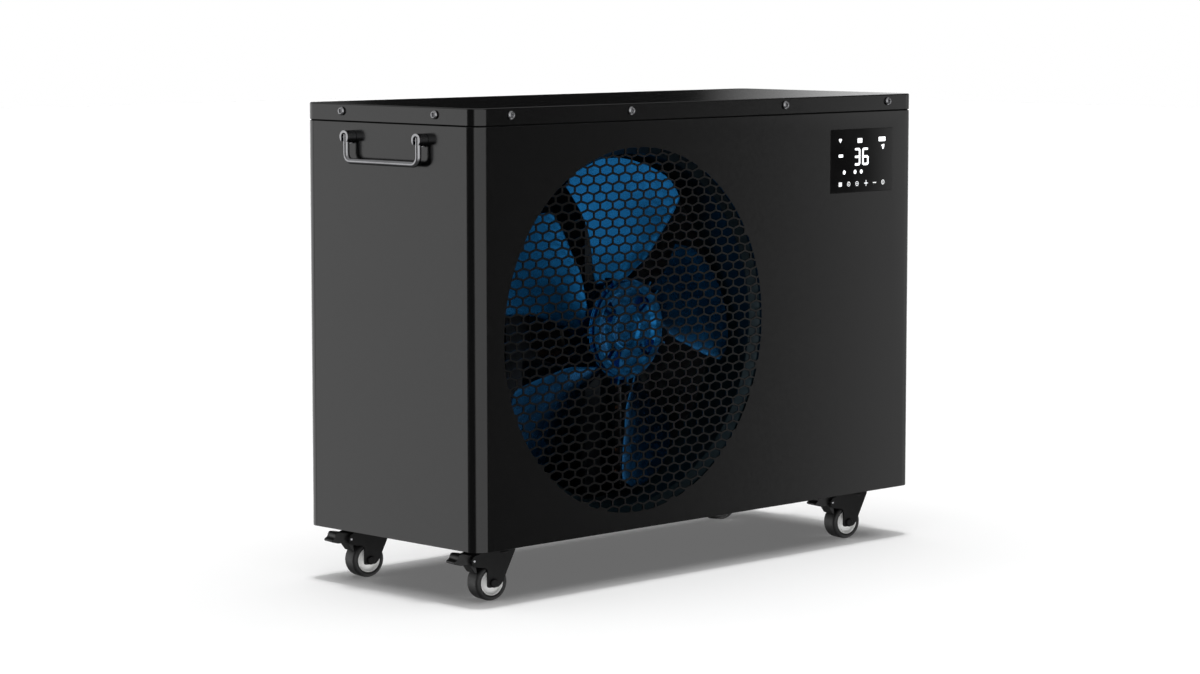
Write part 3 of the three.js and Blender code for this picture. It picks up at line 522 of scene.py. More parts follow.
def wrap_outline(low, high):
    """A flat pattern's outline with points at every fold line, and those lines as pairs of points."""
    straight = HALF_W / MM - CORNER_R
    quarter = CORNER_R * math.pi / 2
    steps = [straight + quarter * i / CORNER_STEPS for i in range(CORNER_STEPS + 1)]
    columns = [-x for x in reversed(steps)] + steps
    outline = [(x, low) for x in columns] + [(x, high) for x in reversed(columns)]
    folds = [(i, 2 * len(columns) - 1 - i) for i in range(1, len(columns) - 1)]
    return outline, folds


def outlet_holes():
    """Stretched hexagons on an offset grid, clipped by the outlet's circle."""
    half = (PUNCH_PITCH_X - PUNCH_WEB) / 2
    slope = math.tan(PUNCH_SLOPE)
    top = PUNCH_PITCH_Z / 2 + slope * PUNCH_PITCH_X / 4 - PUNCH_WEB / 2 / math.cos(PUNCH_SLOPE)
    shoulder = top - half * slope
    hexagon = [(0, -top), (half, -shoulder), (half, shoulder),
               (0, top), (-half, shoulder), (-half, -shoulder)]
    rows = math.ceil(OUTLET_R / PUNCH_PITCH_Z) + 1
    columns = math.ceil(OUTLET_R / PUNCH_PITCH_X) + 1
    border = circle(OUTLET_R, 180)
    holes = []
    for row in range(-rows, rows + 1):
        shift = PUNCH_PITCH_X / 2 if row % 2 else 0
        for column in range(-columns, columns + 1):
            x, z = column * PUNCH_PITCH_X + shift, (row - 0.5) * PUNCH_PITCH_Z
            if math.hypot(x, z) < OUTLET_R + PUNCH_PITCH_X:
                hole = clipped([(x + a, z + b) for a, b in hexagon], border)
                if len(hole) > 2 and area(hole) > SMALLEST_HOLE:
                    holes.append([(a + FAN.x / MM, b + FAN.z / MM) for a, b in tidied(hole)])
    return holes


def tidied(outline, gap=0.35):
    """An outline without points that nearly touch the one before."""
    return [p for i, p in enumerate(outline) if (Vector(p) - Vector(outline[i - 1])).length > gap]


def shifted(outline, x, y):
    return [(a + x, b + y) for a, b in outline]


def front_panel():
    bm = bmesh.new()
    outline, folds = wrap_outline(FLOOR_GAP / MM, SKIRT / MM - SEAM)
    display = middle("display_panel")
    window = rounded(DISPLAY_W / 2 + FIT, DISPLAY_H / 2 + FIT, 1.2)
    holes = outlet_holes() + [shifted(window, display.x / MM, display.z / MM)]
    sheet(bm, outline, holes, folds, partial(wrapped, -1, 0))
    piece("front_panel_skin", bm, "cabinet", PAINT, ["front_panel"])
    tongue("front", -1)


def tongue(word, side):
    bm = bmesh.new()
    outline, folds = wrap_outline(SKIRT / MM - TONGUE / 2, SKIRT / MM + TONGUE / 2)
    sheet(bm, outline, [], folds, partial(wrapped, side, SHEET + FIT))
    # The tongue is painted shade: its near-black shows the seam under the lid as a dark line.
    piece(f"{word}_tongue", bm, "cabinet", PAINTED_SHADE)


def inlet_holes():
    """Three columns of level slots with round corners, on the coil's middle."""
    columns, rows, slot_w, slot_h, pitch_x, pitch_z = 3, 8, 126, 29, 138, 46
    coil = middle("evaporator_coil")
    tray_rim, lid_height = 12, (TOP - SKIRT) / MM
    centre_z = (FLOOR_GAP / MM) + (tray_rim + (TOP - FLOOR_GAP) / MM - lid_height) / 2
    slot = rounded(slot_w / 2, slot_h / 2, 4)
    return [shifted(slot, coil.x / MM + (column - (columns - 1) / 2) * pitch_x,
                    centre_z + (row - (rows - 1) / 2) * pitch_z)
            for column in range(columns) for row in range(rows)]


def back_panel():
    bm = bmesh.new()
    outline, folds = wrap_outline(FLOOR_GAP / MM, SKIRT / MM - SEAM)
    holes = inlet_holes()
    for node, radius in (("water_outlet_union", 25.3), ("water_inlet_union", 25.3), ("cable_gland", 9.3)):
        centre = middle(node)
        holes.append(circle(radius, 40, (centre.x / MM, centre.z / MM)))
    sheet(bm, outline, holes, folds, partial(wrapped, 1, 0))
    piece("back_panel_skin", bm, "cabinet", PAINT, ["back_panel"])
    tongue("back", 1)


def side_panel(word, side):
    half = (BACK - FRONT) / 2 / MM - CORNER_R - FIT

    def flat(inset, along, up, depth):
        return Vector((side * (HALF_W - (inset + depth) * MM), MIDDLE_Y + along * MM, up * MM))

    def strip(name, inset, low, high, material, stands_for=()):
        bm = bmesh.new()
        outline = [(-half, low), (half, low), (half, high), (-half, high)]
        sheet(bm, outline, [], [], partial(flat, inset))
        piece(name, bm, "cabinet", material, stands_for)

    skirt = SKIRT / MM
    strip(f"{word}_panel_skin", 0, FLOOR_GAP / MM, skirt - SEAM, PAINT,
          [f"{word}_panel"])
    # The tongue is painted shade: its near-black shows the seam under the lid as a dark line.
    strip(f"{word}_tongue", SHEET + FIT, skirt - TONGUE / 2, skirt + TONGUE / 2, PAINTED_SHADE)


def lid():
    bm = bmesh.new()
    half_x, half_y = HALF_W / MM, (BACK - FRONT) / 2 / MM
    top, low = TOP / MM, SKIRT / MM
    fold = [(FOLD_R - x, top - FOLD_R + z) for x, z in arc((0, 0), FOLD_R, 0, 90, 5)]
    profile = [(SHEET - HEM, low), (HEM, low), (0, low + HEM)] + fold
    inner = [(SHEET + 0.6, top - SHEET), (SHEET, top - SHEET - 0.6), (SHEET, low + HEM)]

    def level(inset, z):
        outline = rounded(half_x - inset, half_y - inset, CORNER_R - inset, 12)
        return [(x, y, z) for x, y in outline]

    rings = [level(inset, z) for inset, z in profile]
    inner_rings = [level(inset, z) for inset, z in inner]
    skin(bm, [*reversed(inner_rings), *rings])
    moved(bm, place(0, MIDDLE_Y, 0))
    made = piece("lid_shell", bm, "cabinet", PAINT, ["lid"])
    return made


def hexed(radius_angle):
    """Shape of a six-sided socket."""
    sector = math.pi / 3
    return math.cos(sector / 2) / math.cos(radius_angle % sector - sector / 2)


def lid_screw(name, matrix, stands_for=()):
    bm = bmesh.new()
    head = eased([(SCREW_R, -10), (SCREW_R, FIT), (SCREW_HEAD_R, FIT), (SCREW_HEAD_R, 1.7),
                  (SCREW_HEAD_R * 0.72, SCREW_HEAD_H), (2.5, SCREW_HEAD_H)], 0.7, 4, closed=False)
    socket = [(2.3, SCREW_HEAD_H - 0.25), (2.1, SCREW_HEAD_H - 0.5, hexed),
              (2.1, SCREW_HEAD_H - 2, hexed), (0, 0.8)]
    turned(bm, [(0, -10)] + head + socket, matrix, 36)
    piece(name, bm, "cabinet", HARDWARE, stands_for, sharp=50)


def lid_screws():
    for index in range(1, 5):
        node = f"lid_screw_front_{index}"
        centre = middle(node)
        lid_screw(f"{node}_cap", place(centre.x, FRONT, centre.z, TO_MINUS_Y), [node])
        lid_screw(f"lid_screw_back_{index}", place(centre.x, BACK, centre.z, TO_Y))
    for word, side, turn in (("left", -1, TO_MINUS_X), ("right", 1, TO_X)):
        for index in (1, 2):
            node = f"lid_screw_{word}_{index}"
            centre = middle(node)
            lid_screw(f"{node}_cap", place(side * HALF_W, centre.y, centre.z, turn), [node])


# ---------------------------------------------------------------- display
def capsule(bm, start, end, thick, matrix, high):
    """A flat bar with round ends between two points."""
    along = Vector(end) - Vector(start)
    angle = math.degrees(math.atan2(along.y, along.x))
    outline = [*arc(end, thick / 2, angle - 90, angle + 90, 8),
               *arc(start, thick / 2, angle + 90, angle + 270, 8)]
    prism(bm, outline, 0, high, matrix)


def display():
    low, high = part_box("display_panel")
    centre = (low + high) / 2
    bm = bmesh.new()
    face_y = FRONT - DISPLAY_PROUD * MM
    slab = eased(rounded(DISPLAY_W / 2, DISPLAY_H / 2, 1.0), 0.1, 1)
    turn = place(centre.x, face_y, centre.z, TO_MINUS_Y)
    prism(bm, slab, -4, 0, turn)
    behind = (high.y - face_y) / MM
    prism(bm, rounded(DISPLAY_W / 2 + 4, DISPLAY_H / 2 + 4, 2), -4 - DISPLAY_PROUD, -2.3, turn)
    prism(bm, rounded(DISPLAY_W / 2 - 3, DISPLAY_H / 2 - 3, 2), -behind, -3, turn)
    soften(bm, 0.18 * MM, 60)
    piece("display_glass", bm, "cabinet", GLASS, ["display_panel"])
    legends(turn)


def legends(turn):
    """Digits and plain icons. Places are from the glass's middle, X to the right and Y up."""
    thin = 0.06
    bright = bmesh.new()
    digit_h, bar, low, corner = 17.4, 2.7, -4.35, 1.1
    for left, digit_w, missing in ((-10.7, 6.8, ("upper_left", "lower_left")), (2, 8.5, ("upper_right",))):
        right = left + digit_w
        open_left = left if "upper_left" in missing else left + corner
        mid, high = low + digit_h / 2, low + digit_h
        bars = {
            "top": ((open_left, high), (right - corner, high)),
            "middle": ((open_left, mid), (right - corner, mid)),
            "bottom": ((open_left, low), (right - corner, low)),
            "upper_left": ((left, mid), (left, high - corner)),
            "lower_left": ((left, low + corner), (left, mid)),
            "upper_right": ((right, mid + corner), (right, high - corner)),
            "lower_right": ((right, low + corner), (right, mid - corner)),
        }
        for name, (start, end) in bars.items():
            if name not in missing:
                capsule(bright, start, end, bar, turn, thin)
    wave = [(0, -2.6)] + arc((0, -2.6), 5, 55, 125, 6)
    prism(bright, shifted(wave, -37.4, 23.4), 0, thin, turn)
    for x, y, half_x, half_y in ((-3.5, 22.8, 4.1, 2.7), (35.4, 23.4, 6.1, 2.6), (-36.4, 6.1, 3.8, 1.7)):
        prism(bright, shifted(rounded(half_x, half_y, 0.9), x, y), 0, thin, turn)
    mark = [(-3, 2.2), (0, 2.2), (1, 3), (3, 3), (2.6, -0.6), (1.4, -2.8), (-0.6, -2.6), (-1, 0)]
    prism(bright, shifted(eased(mark, 0.8), 36.6, 14.6), 0, thin, turn)
    for x in (-30.4, -11.6, -0.8):
        prism(bright, circle(2.4, 24, (x, -12.8)), 0, thin, turn)
    piece("display_digits", bright, "cabinet", LEGEND)
    dim = bmesh.new()
    y = -26.4
    prism(dim, shifted(rounded(2.8, 2.5, 0.6), -37.1, y), 0, thin, turn)
    for x in (-22.5, -8.1, 37.5):
        rim = [(1.9, 0), (2.8, 0), (2.8, thin), (1.9, thin)]
        turned(dim, rim, turn @ Matrix.Translation((x, y, 0)), 24, closed=True)
        prism(dim, circle(0.9, 16, (x, y)), 0, thin, turn)
    capsule(dim, (4.9, y), (10.7, y), 1.2, turn, thin)
    capsule(dim, (7.8, y - 2.9), (7.8, y + 2.9), 1.2, turn, thin)
    capsule(dim, (20.2, y), (25.2, y), 1.2, turn, thin)
    piece("display_keys", dim, "cabinet", LEGEND_DIM)


# ---------------------------------------------------------------- handles
def handle_boss(word, side, end):
    turn = Matrix.Rotation(0 if side > 0 else math.pi, 4, "Z")
    centre = middle(f"{word}_handle_boss_{end}")
    body = bmesh.new()
    turned(body, [(0, FIT), (BOSS_R, FIT), (BOSS_R, BOSS_LONG), (0, BOSS_LONG)], TO_X, 64)
    bore = bmesh.new()
    turned(bore, [(0, BOSS_LONG - BOSS_BORE_DEEP), (BOSS_BORE_R, BOSS_LONG - BOSS_BORE_DEEP),
                  (BOSS_BORE_R, BOSS_LONG + 1), (0, BOSS_LONG + 1)], TO_X, 48)
    slot = bmesh.new()
    half = BOSS_BORE_R * 0.999
    prism(slot, [(BOSS_LONG - BOSS_BORE_DEEP, -half), (BOSS_LONG + 2, -half), (BOSS_LONG + 2, half),
                 (BOSS_LONG - BOSS_BORE_DEEP, half)], -BOSS_R - 1, 0, Matrix.Identity(4))
    shaped = cut(cut(body, bore), slot)
    soften(shaped, 0.45, 40)
    # The bore's inside takes the second slot's material, a painted shade: a dark colour standing in for the
    # shade inside the bore.
    for face in shaped.faces:
        spot = face.calc_center_median()
        if spot.x < BOSS_LONG - 0.5 and math.hypot(spot.y, spot.z) < BOSS_BORE_R + 0.4:
            face.material_index = 1
    moved(shaped, place(side * HALF_W, centre.y, centre.z, turn))
    boss = piece(f"{word}_boss_{end}", shaped, "cabinet", HARDWARE,
                 [f"{word}_handle_boss_{end}"])
    boss.data.materials.append(PAINTED_SHADE)
    pin = bmesh.new()
    under = place(side * (HALF_W + 2.3 * MM), centre.y, centre.z - (BOSS_R - 0.3) * MM,
                  Matrix.Rotation(math.pi, 4, "X"))
    turned(pin, eased([(0, 0), (1.5, 0), (1.5, 1.1), (0, 1.1)], 0.3, 2, closed=False), under, 24)
    piece(f"{word}_boss_{end}_set_screw", pin, "cabinet", HARDWARE)


def handle_bail(word, side):
    low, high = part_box(f"{word}_handle_bail")
    y = (low.y + high.y) / 2
    z = middle(f"{word}_handle_boss_front").z
    half = HANDLE_SPAN / 2
    bend, drop = BAIL_BEND, -BAIL_DROP
    path = [(-half, BAIL_R - 0.6)] + arc((-half + bend, drop + bend), bend, 180, 270, 12)
    path += arc((half - bend, drop + bend), bend, 270, 360, 12) + [(half, BAIL_R - 0.6)]
    matrix = place(side * (HALF_W + BAIL_OUT * MM), y, z)
    bm = bmesh.new()
    swept(bm, path, BAIL_R, matrix, 28)
    for end in (-half, half):
        turned(bm, [(0, -6.1), (TRUNNION_R, -6.1), (TRUNNION_R, 6.1), (0, 6.1)],
               matrix @ Matrix.Translation((0, end, 0)) @ TO_Y, 20)
    piece(f"{word}_bail_bar", bm, f"{word}_bail", HARDWARE, [f"{word}_handle_bail"], sharp=60)


def handles():
    for word, side in (("left", -1), ("right", 1)):
        for end in ("front", "rear"):
            handle_boss(word, side, end)
        handle_bail(word, side)


# ---------------------------------------------------------------- fan
LEADING = [(46, 5), (58, -6.5), (81, -20.5), (111, -25), (150, -27.5), (186, -26.5)]
TRAILING = [(46, 31), (58, 26), (81, 17.4), (111, 15.2), (150, 19), (186, 25)]
PITCH = [(46, 36), (81, 28), (111, 24), (186, 17.5)]
TIP_REACH = [(0, 0.9), (0.12, 0.965), (0.35, 0.995), (0.55, 1), (0.8, 0.96), (1, 0.86)]


def along(table, x):
    """A smooth curve through a few points, read at x."""
    x = min(max(x, table[0][0]), table[-1][0])
    i = next(k for k in range(len(table) - 1) if x <= table[k + 1][0])
    slopes = []
    for k in (i, i + 1):
        a, b = table[max(k - 1, 0)], table[min(k + 1, len(table) - 1)]
        slopes.append((b[1] - a[1]) / (b[0] - a[0]))
    (x0, y0), (x1, y1) = table[i], table[i + 1]
    width = x1 - x0
    t = (x - x0) / width
    return (y0 * (1 + 2 * t) * (1 - t) ** 2 + slopes[0] * width * t * (1 - t) ** 2
            + y1 * t * t * (3 - 2 * t) + slopes[1] * width * t * t * (t - 1))


def blade(bm, direction, chords=22, spans=20):
    """One swept blade lofted from the hub to its tip, thin and round at its edges."""
    root = HUB_R - 3
    fine = [0.5 - 0.5 * math.cos(math.pi * i / chords) for i in range(chords + 1)]
    walk = [(c, -1) for c in fine] + [(c, 1) for c in reversed(fine[1:-1])]
    rings = []
    for step in range(spans + 1):
        span = step / spans
        ring = []
        for chord, side in walk:
            radius = root + span * (FAN_R * along(TIP_REACH, chord) - root)
            start = math.radians(along(LEADING, radius))
            wide = math.radians(along(TRAILING, radius)) - start
            slope = math.tan(math.radians(along(PITCH, radius)))
            angle = math.radians(direction) + start + chord * wide
            thick = BLADE_THICK / 2 * math.sqrt(max(0.0, 1 - abs(2 * chord - 1) ** 6)) + 0.12
            camber = BLADE_CAMBER * math.sin(math.pi * chord)
            depth = BLADE_DEEP + chord * radius * wide * slope - camber + side * thick
            ring.append((radius * math.cos(angle), depth, radius * math.sin(angle)))
        rings.append(ring)
    skin(bm, rings)


def fan():
    here = place(FAN.x, FAN.y, FAN.z)
    for index in range(BLADES):
        bm = bmesh.new()
        blade(bm, BLADE_START + index * 360 / BLADES)
        moved(bm, here)
        stands_for = ["fan_rotor"] if index == 0 else []
        piece(f"fan_blade_{index + 1}", bm, "fan", BLUE, stands_for, sharp=70)
    hub(here)


def sector(inner, outer, start, end, steps=8):
    return arc((0, 0), outer, start, end, steps) + arc((0, 0), inner, end, start, steps)


def hub(here):
    """The cup: a shallow dished face with pockets, a rim behind it and ribs between the blades."""
    face = eased([(0, 3.4), (16, 3.4), (20, 1.8), (36, 1.8), (43, 0), (HUB_R, 0)], 2.5, 4, closed=False)
    side = eased([(HUB_R, 0), (HUB_R, 5), (HUB_RIM_R, 5), (HUB_RIM_R, 8), (HUB_R, 8), (HUB_R, HUB_LONG),
                  (HUB_R - 3, HUB_LONG), (HUB_R - 3, 9), (11, 9), (11, HUB_LONG - 6), (5.3, HUB_LONG - 6),
                  (5.3, 9), (0, 9)], 0.8, 3, closed=False)
    bm = bmesh.new()
    turned(bm, face[:-1] + side, TO_Y, 96)
    pockets = bmesh.new()
    for index in range(POCKETS):
        middle_angle = POCKET_START + index * 90
        prism(pockets, eased(sector(26, 43, middle_angle - 15, middle_angle + 15), 2), -6.5, 4, TO_MINUS_Y)
    bm = cut(bm, pockets)
    soften(bm, 0.6, 40)
    moved(bm, here)
    piece("fan_hub", bm, "fan", BLUE, sharp=50)
    ribs = bmesh.new()
    for index in range(POCKETS):
        angle = POCKET_START + index * 90 - 5
        prism(ribs, eased(sector(28, 41, angle - 2.5, angle + 2.5, 4), 0.6), -6.6, -0.9, TO_MINUS_Y)
    for index in range(BLADES):
        between = BLADE_START - 180 / BLADES + index * 360 / BLADES
        for offset in (-7, 7):
            spin = Matrix.Rotation(math.radians(between + offset), 4, "Z")
            prism(ribs, [(HUB_R - 1, -1), (61, -1), (61, 1), (HUB_R - 1, 1)], -13, -1.5, TO_MINUS_Y @ spin)
    soften(ribs, 0.3, 40)
    moved(ribs, here)
    piece("fan_hub_ribs", ribs, "fan", BLUE)


def fan_housing():
    inner = FAN_R + 6
    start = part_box("fan_shroud")[0].y
    long = (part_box("fan_shroud")[1].y - start) / MM
    profile = eased([(inner, 12), (OUTLET_R + 1, 2), (OUTLET_R + 1, 0), (OUTLET_R + 6, 0), (OUTLET_R + 6, 2),
                     (OUTLET_R + 3, 3), (inner + 2, 14), (inner + 2, long), (inner, long)], 0.9, 3)
    bm = bmesh.new()
    turned(bm, profile, place(FAN.x, start, FAN.z, TO_Y), 144, closed=True)
    # The ring's teal is a painted reflection of the blue blades on black plastic.
    piece("fan_shroud_ring", bm, "cabinet", SHROUD_WITH_PAINTED_REFLECTION, ["fan_shroud"])
    motor = bmesh.new()
    back = (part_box("fan_motor")[1].y - FAN.y) / MM
    turned(motor, eased([(0, 10), (5, 10), (5, 50), (14, 50), (14, 54), (40, 54), (46, 60), (46, back - 8),
                         (38, back), (0, back)], 2, 3, closed=False), place(FAN.x, FAN.y, FAN.z, TO_Y), 72)
    piece("fan_motor_shell", motor, "cabinet", ENAMEL, ["fan_motor"])


# ---------------------------------------------------------------- works inside
def coil():
    """Plate fins on serpentine tubes, between two end plates."""
    low, high = (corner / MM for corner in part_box("evaporator_coil"))
    reach, plate, pitch = 3, 2.5, 2.6
    fins = bmesh.new()
    count = int((high.x - low.x - 2 * plate) / pitch)
    for index in range(1, count):
        x = low.x + plate + index * pitch
        near, far = low.y + reach, high.y - reach
        fin = [(x, near), (x + 0.25, near), (x + 0.25, far), (x, far)]
        prism(fins, fin, low.z + 3, high.z - 3, Matrix.Scale(MM, 4))
    piece("coil_fins", fins, "cabinet", FINS, ["evaporator_coil"])
    plates = bmesh.new()
    for x in (low.x, high.x - plate):
        prism(plates, [(x, low.y), (x + plate, low.y), (x + plate, high.y), (x, high.y)], low.z, high.z,
              Matrix.Scale(MM, 4))
    soften(plates, 0.3 * MM)
    piece("coil_end_plates", plates, "cabinet", ZINC)
    tubes = bmesh.new()
    rise = 25
    for index in range(int((high.z - low.z) / rise)):
        for share in (0.3, 0.7):
            y = low.y + (high.y - low.y) * share
            z = low.z + rise * (index + 0.6)
            turned(tubes, [(0, low.x + 1), (3.6, low.x + 1), (3.6, high.x - 1), (0, high.x - 1)],
                   place(0, y * MM, z * MM, TO_X), 14)
    piece("coil_tubes", tubes, "cabinet", COPPER)


def works():
    dress("motor_bracket", DARK_ZINC, 0.5)
    dress("partition_wall", ZINC, 0.3)
    dress("control_box", ZINC, 0.5)
    dress("compressor", ENAMEL, 1.0)
    dress("accumulator", ENAMEL, 0.6)
    dress("heat_exchanger", GREY_PLASTIC, 0.8)
    dress("base_tray", PAINT, 0.3)
    for word in CASTERS:
        dress(f"{word}_caster_plate", BLACK_STEEL, 0.3)


def ribbed(angle, count=18, depth=0.03):
    """Shape of a union nut's grip."""
    return 1 - depth * (0.5 + 0.5 * math.cos(count * angle)) ** 3


def fittings():
    """Water unions, cable gland and drain spout."""
    for word in ("outlet", "inlet"):
        node = f"water_{word}_union"
        centre, reach = middle(node), (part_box(node)[1].y - BACK) / MM
        pipe_end, nut = reach - 10, 24
        nut_start = pipe_end - nut
        outer = eased([(25, -12), (25, FIT), (30, FIT), (30, 5), (26, 5), (26, nut_start)],
                      0.8, 2, closed=False)
        grip = [(31, nut_start), (33, nut_start + 1.5, ribbed), (33, pipe_end - 1.5, ribbed),
                (31, pipe_end)]
        mouth = eased([(25, pipe_end + 1), (25, reach), (19, reach), (19, -12)], 0.8, 2, closed=False)
        bm = bmesh.new()
        turned(bm, outer + grip + mouth, place(centre.x, BACK, centre.z, TO_Y), 144, closed=True)
        piece(f"water_{word}_fitting", bm, "cabinet", BLACK_PLASTIC, [node])
    gland = bmesh.new()
    centre = middle("cable_gland")
    profile = [(0, -10), (9, -10), (9, FIT), (13, FIT, hexed), (13, 6, hexed), (10, 7), (10, 12),
               (7.5, 17.6), (4, 18), (3.6, 12), (0, 12)]
    turned(gland, profile, place(centre.x, BACK, centre.z, TO_Y), 48)
    piece("cable_gland_body", gland, "cabinet", BLACK_PLASTIC, ["cable_gland"])
    spout = bmesh.new()
    centre = middle("drain_spout")
    collar = [(8, 4.2), (9.2, 4.2), (9.2, -FIT), (12, -FIT), (12, -7), (10, -10), (8, -10)]
    turned(spout, eased(collar, 0.8, 3), place(centre.x, centre.y, FLOOR_GAP), 48, closed=True)
    piece("drain_spout_collar", spout, "cabinet", BLACK_PLASTIC, ["drain_spout"])


# ---------------------------------------------------------------- casters
def caster(word):
    pin = middle(f"{word}_caster_plate")
    wheel = middle(f"{word}_tyre")
    yaw = math.atan2(pin.y - wheel.y, pin.x - wheel.x)
    trail = math.hypot(pin.y - wheel.y, pin.x - wheel.x) / MM
    turn = Matrix.Rotation(yaw, 4, "Z")
    about_pin = place(pin.x, pin.y, FLOOR_GAP, turn)
    about_axle = place(wheel.x, wheel.y, wheel.z, turn)
    axle_z = (wheel.z - FLOOR_GAP) / MM
    fork(word, about_pin, trail, axle_z)
    wheel_parts(word, about_axle)
    pedal(word, about_pin)


def fork(word, about_pin, trail, axle_z):
    low = axle_z - 4.6
    cheek = eased([(14.2, -FORK_TOP), (0.7, -33.1), (-1.8, -38.8), (-7, low), (-21, low), (-21, -25),
                   (-24, -22.5), (-32, -21.6), (-38.5, -20), (-40.9, -14.2), (-38.5, -9.6),
                   (-24, -FORK_TOP)], 2.4, 5)
    bm = bmesh.new()
    for side in (-1, 1):
        inner, outer = sorted((side * CHEEK_IN, side * CHEEK_OUT))
        # Drawn in X and Z: TO_MINUS_Y turns the drawing's Y to Z and its Z to -Y.
        prism(bm, cheek, -outer, -inner, TO_MINUS_Y)
    crown = [(-24, -CHEEK_OUT), (12.5, -CHEEK_OUT), (12.5, CHEEK_OUT), (-24, CHEEK_OUT)]
    web = -FORK_TOP - FORK_SHEET
    top = bmesh.new()
    prism(top, eased(crown, 3, 4), web, -FORK_TOP, Matrix.Identity(4))
    bm = cut(bm, top, "UNION")
    soften(bm, 0.4, 35)
    moved(bm, about_pin)
    piece(f"{word}_fork_frame", bm, f"{word}_fork", BLACK_STEEL, [f"{word}_fork"])
    race = bmesh.new()
    collar = [(4.4, web - 3.4), (13, web - 3.4), (15.5, web), (4.4, web)]
    turned(race, eased(collar, 0.8, 3), about_pin, 48, closed=True)
    piece(f"{word}_swivel_race", race, f"{word}_fork", BLACK_STEEL)
    bolt = bmesh.new()
    head = CHEEK_OUT + FIT
    cap = eased([(3.9, -head - 2.4), (4.8, -head - 1.4), (4.8, -head), (AXLE_R, -head)],
                0.4, 2, closed=False)
    nut = [(AXLE_R, head), (4.8, head, hexed), (4.8, head + 3, hexed), (AXLE_R, head + 3.6)]
    turned(bolt, [(0, -head - 2.4), *cap, *nut, (0, head + 3.6)],
           about_pin @ Matrix.Translation((-trail, 0, axle_z)) @ TO_Y, 36)
    piece(f"{word}_axle_bolt", bolt, f"{word}_fork", BLACK_STEEL, [f"{word}_axle"])


def wheel_parts(word, about_axle):
    half, edge = TYRE_W / 2, TYRE_EDGE
    tread = arc((TYRE_R - edge, half - edge), edge, 90, 0, 6)
    side = [(WHEEL_HUB_R + FIT, half - 1.6), (WHEEL_HUB_R + 0.9, half - 0.7)] + tread
    profile = side + [(r, -y) for r, y in reversed(side)]
    bm = bmesh.new()
    turned(bm, profile, about_axle @ TO_Y, 96, closed=True)
    piece(f"{word}_tyre_tread", bm, f"{word}_wheel", RUBBER, [f"{word}_tyre"])
    flank = half - 0.6
    face = eased([(AXLE_R + FIT, flank), (6, flank), (8, flank - 3), (WHEEL_HUB_R - 2.4, flank - 3),
                  (WHEEL_HUB_R - 0.6, flank), (WHEEL_HUB_R, flank)], 0.7, 3, closed=False)
    bm = bmesh.new()
    turned(bm, face + [(r, -y) for r, y in reversed(face)], about_axle @ TO_Y, 72, closed=True)
    piece(f"{word}_hub_disc", bm, f"{word}_wheel", WHITE_NYLON, [f"{word}_wheel_hub"])


def pedal(word, about_pin):
    pin_x, pin_z = -37.5, -14.2
    tip = Vector((math.cos(SHOE_ANGLE), math.sin(SHOE_ANGLE))) * SHOE_LONG
    side = Vector((-math.sin(SHOE_ANGLE), math.cos(SHOE_ANGLE))) * 1.6
    outline = [(4, 3), (-1, 5.6), (-10.5, 7.6), (-15, 8), (-17, 5.4), (-17.6, 2.2), (-21.5, 0),
               (-21.5, -2.2), (-13, -4.4), (-3, -4.2), tuple(tip - side), tuple(tip + side * 0.4),
               (4.6, -3)]
    bm = bmesh.new()
    about = about_pin @ Matrix.Translation((pin_x, 0, pin_z))
    prism(bm, eased(outline, 1.6, 4), -PEDAL_W / 2, PEDAL_W / 2, about @ TO_MINUS_Y)
    soften(bm, 0.7 * MM, 50)
    piece(f"{word}_pedal_body", bm, f"{word}_pedal", BLACK_PLASTIC, [f"{word}_brake_pedal"])
    rod = bmesh.new()
    reach = CHEEK_OUT + 0.6
    turned(rod, [(0, -reach), (1.1, -reach), (PEDAL_PIN_R, -reach + 0.4),
                 (PEDAL_PIN_R, reach - 0.4), (1.1, reach), (0, reach)], about @ TO_Y, 24)
    piece(f"{word}_pedal_pin", rod, f"{word}_pedal", HARDWARE)


# ---------------------------------------------------------------- studio
FLOOR_TONE = 0.87
LIT_FLOOR = 1.02              # brightness of the open floor, just past white
SHADE = 0.13                  # what is left of the light in the shadow under the casing
AMBIENT = 0.04
FROM_BELOW = 1.3              # light that a pale floor throws back up
FAN_LAMP = 3
FAN_LAMP_AWAY = 1.6
VIEW_FROM = (-2.65206, -2.66305, 0.64348)
VIEW_YAW = math.radians(44.736)
VIEW_PITCH = math.radians(6.014)


def studio():
    floor_mesh = bpy.data.meshes.new("floor")
    bm = bmesh.new()
    bmesh.ops.create_grid(bm, x_segments=1, y_segments=1, size=12)
    bm.to_mesh(floor_mesh)
    bm.free()
    floor = bpy.data.objects.new("floor", floor_mesh)
    scene.collection.objects.link(floor)
    n = Nodes("pale_floor")
    tone = n.mixed(n.ranged(n.noise(2.5, 2), 0, 1), (0.86, 0.86, 0.86), (0.88, 0.88, 0.88))
    n.link(tone, n.shader.inputs["Base Color"])
    n.shader.inputs["Roughness"].default_value = 1.0
    n.shader.inputs["Specular IOR Level"].default_value = 0.0
    n.shader.inputs["Emission Color"].default_value = (1, 1, 1, 1)
    n.shader.inputs["Emission Strength"].default_value = SHADE
    floor_mesh.materials.append(n.material)
    floor.visible_glossy = False
    floor.visible_diffuse = False
    straight_down = Vector((0, 0, -1))
    for name, share, width in (("overhead_key", 0.42, 3), ("overhead_soft", 0.58, 76)):
        light = bpy.data.lights.new(name, "SUN")
        light.energy = share * math.pi * (LIT_FLOOR - SHADE) / FLOOR_TONE
        light.angle = math.radians(width)
        add_lamp(name, light, (0, 0, 3), straight_down)
    towards = Vector((0.76, 0.62, 0.12)).normalized()
    spot = bpy.data.lights.new("fan_lamp", "SPOT")
    spot.energy = FAN_LAMP
    spot.spot_size = math.radians(16)
    spot.spot_blend = 0.3
    spot.shadow_soft_size = 0.02
    add_lamp("fan_lamp", spot, FAN - towards * FAN_LAMP_AWAY, towards)


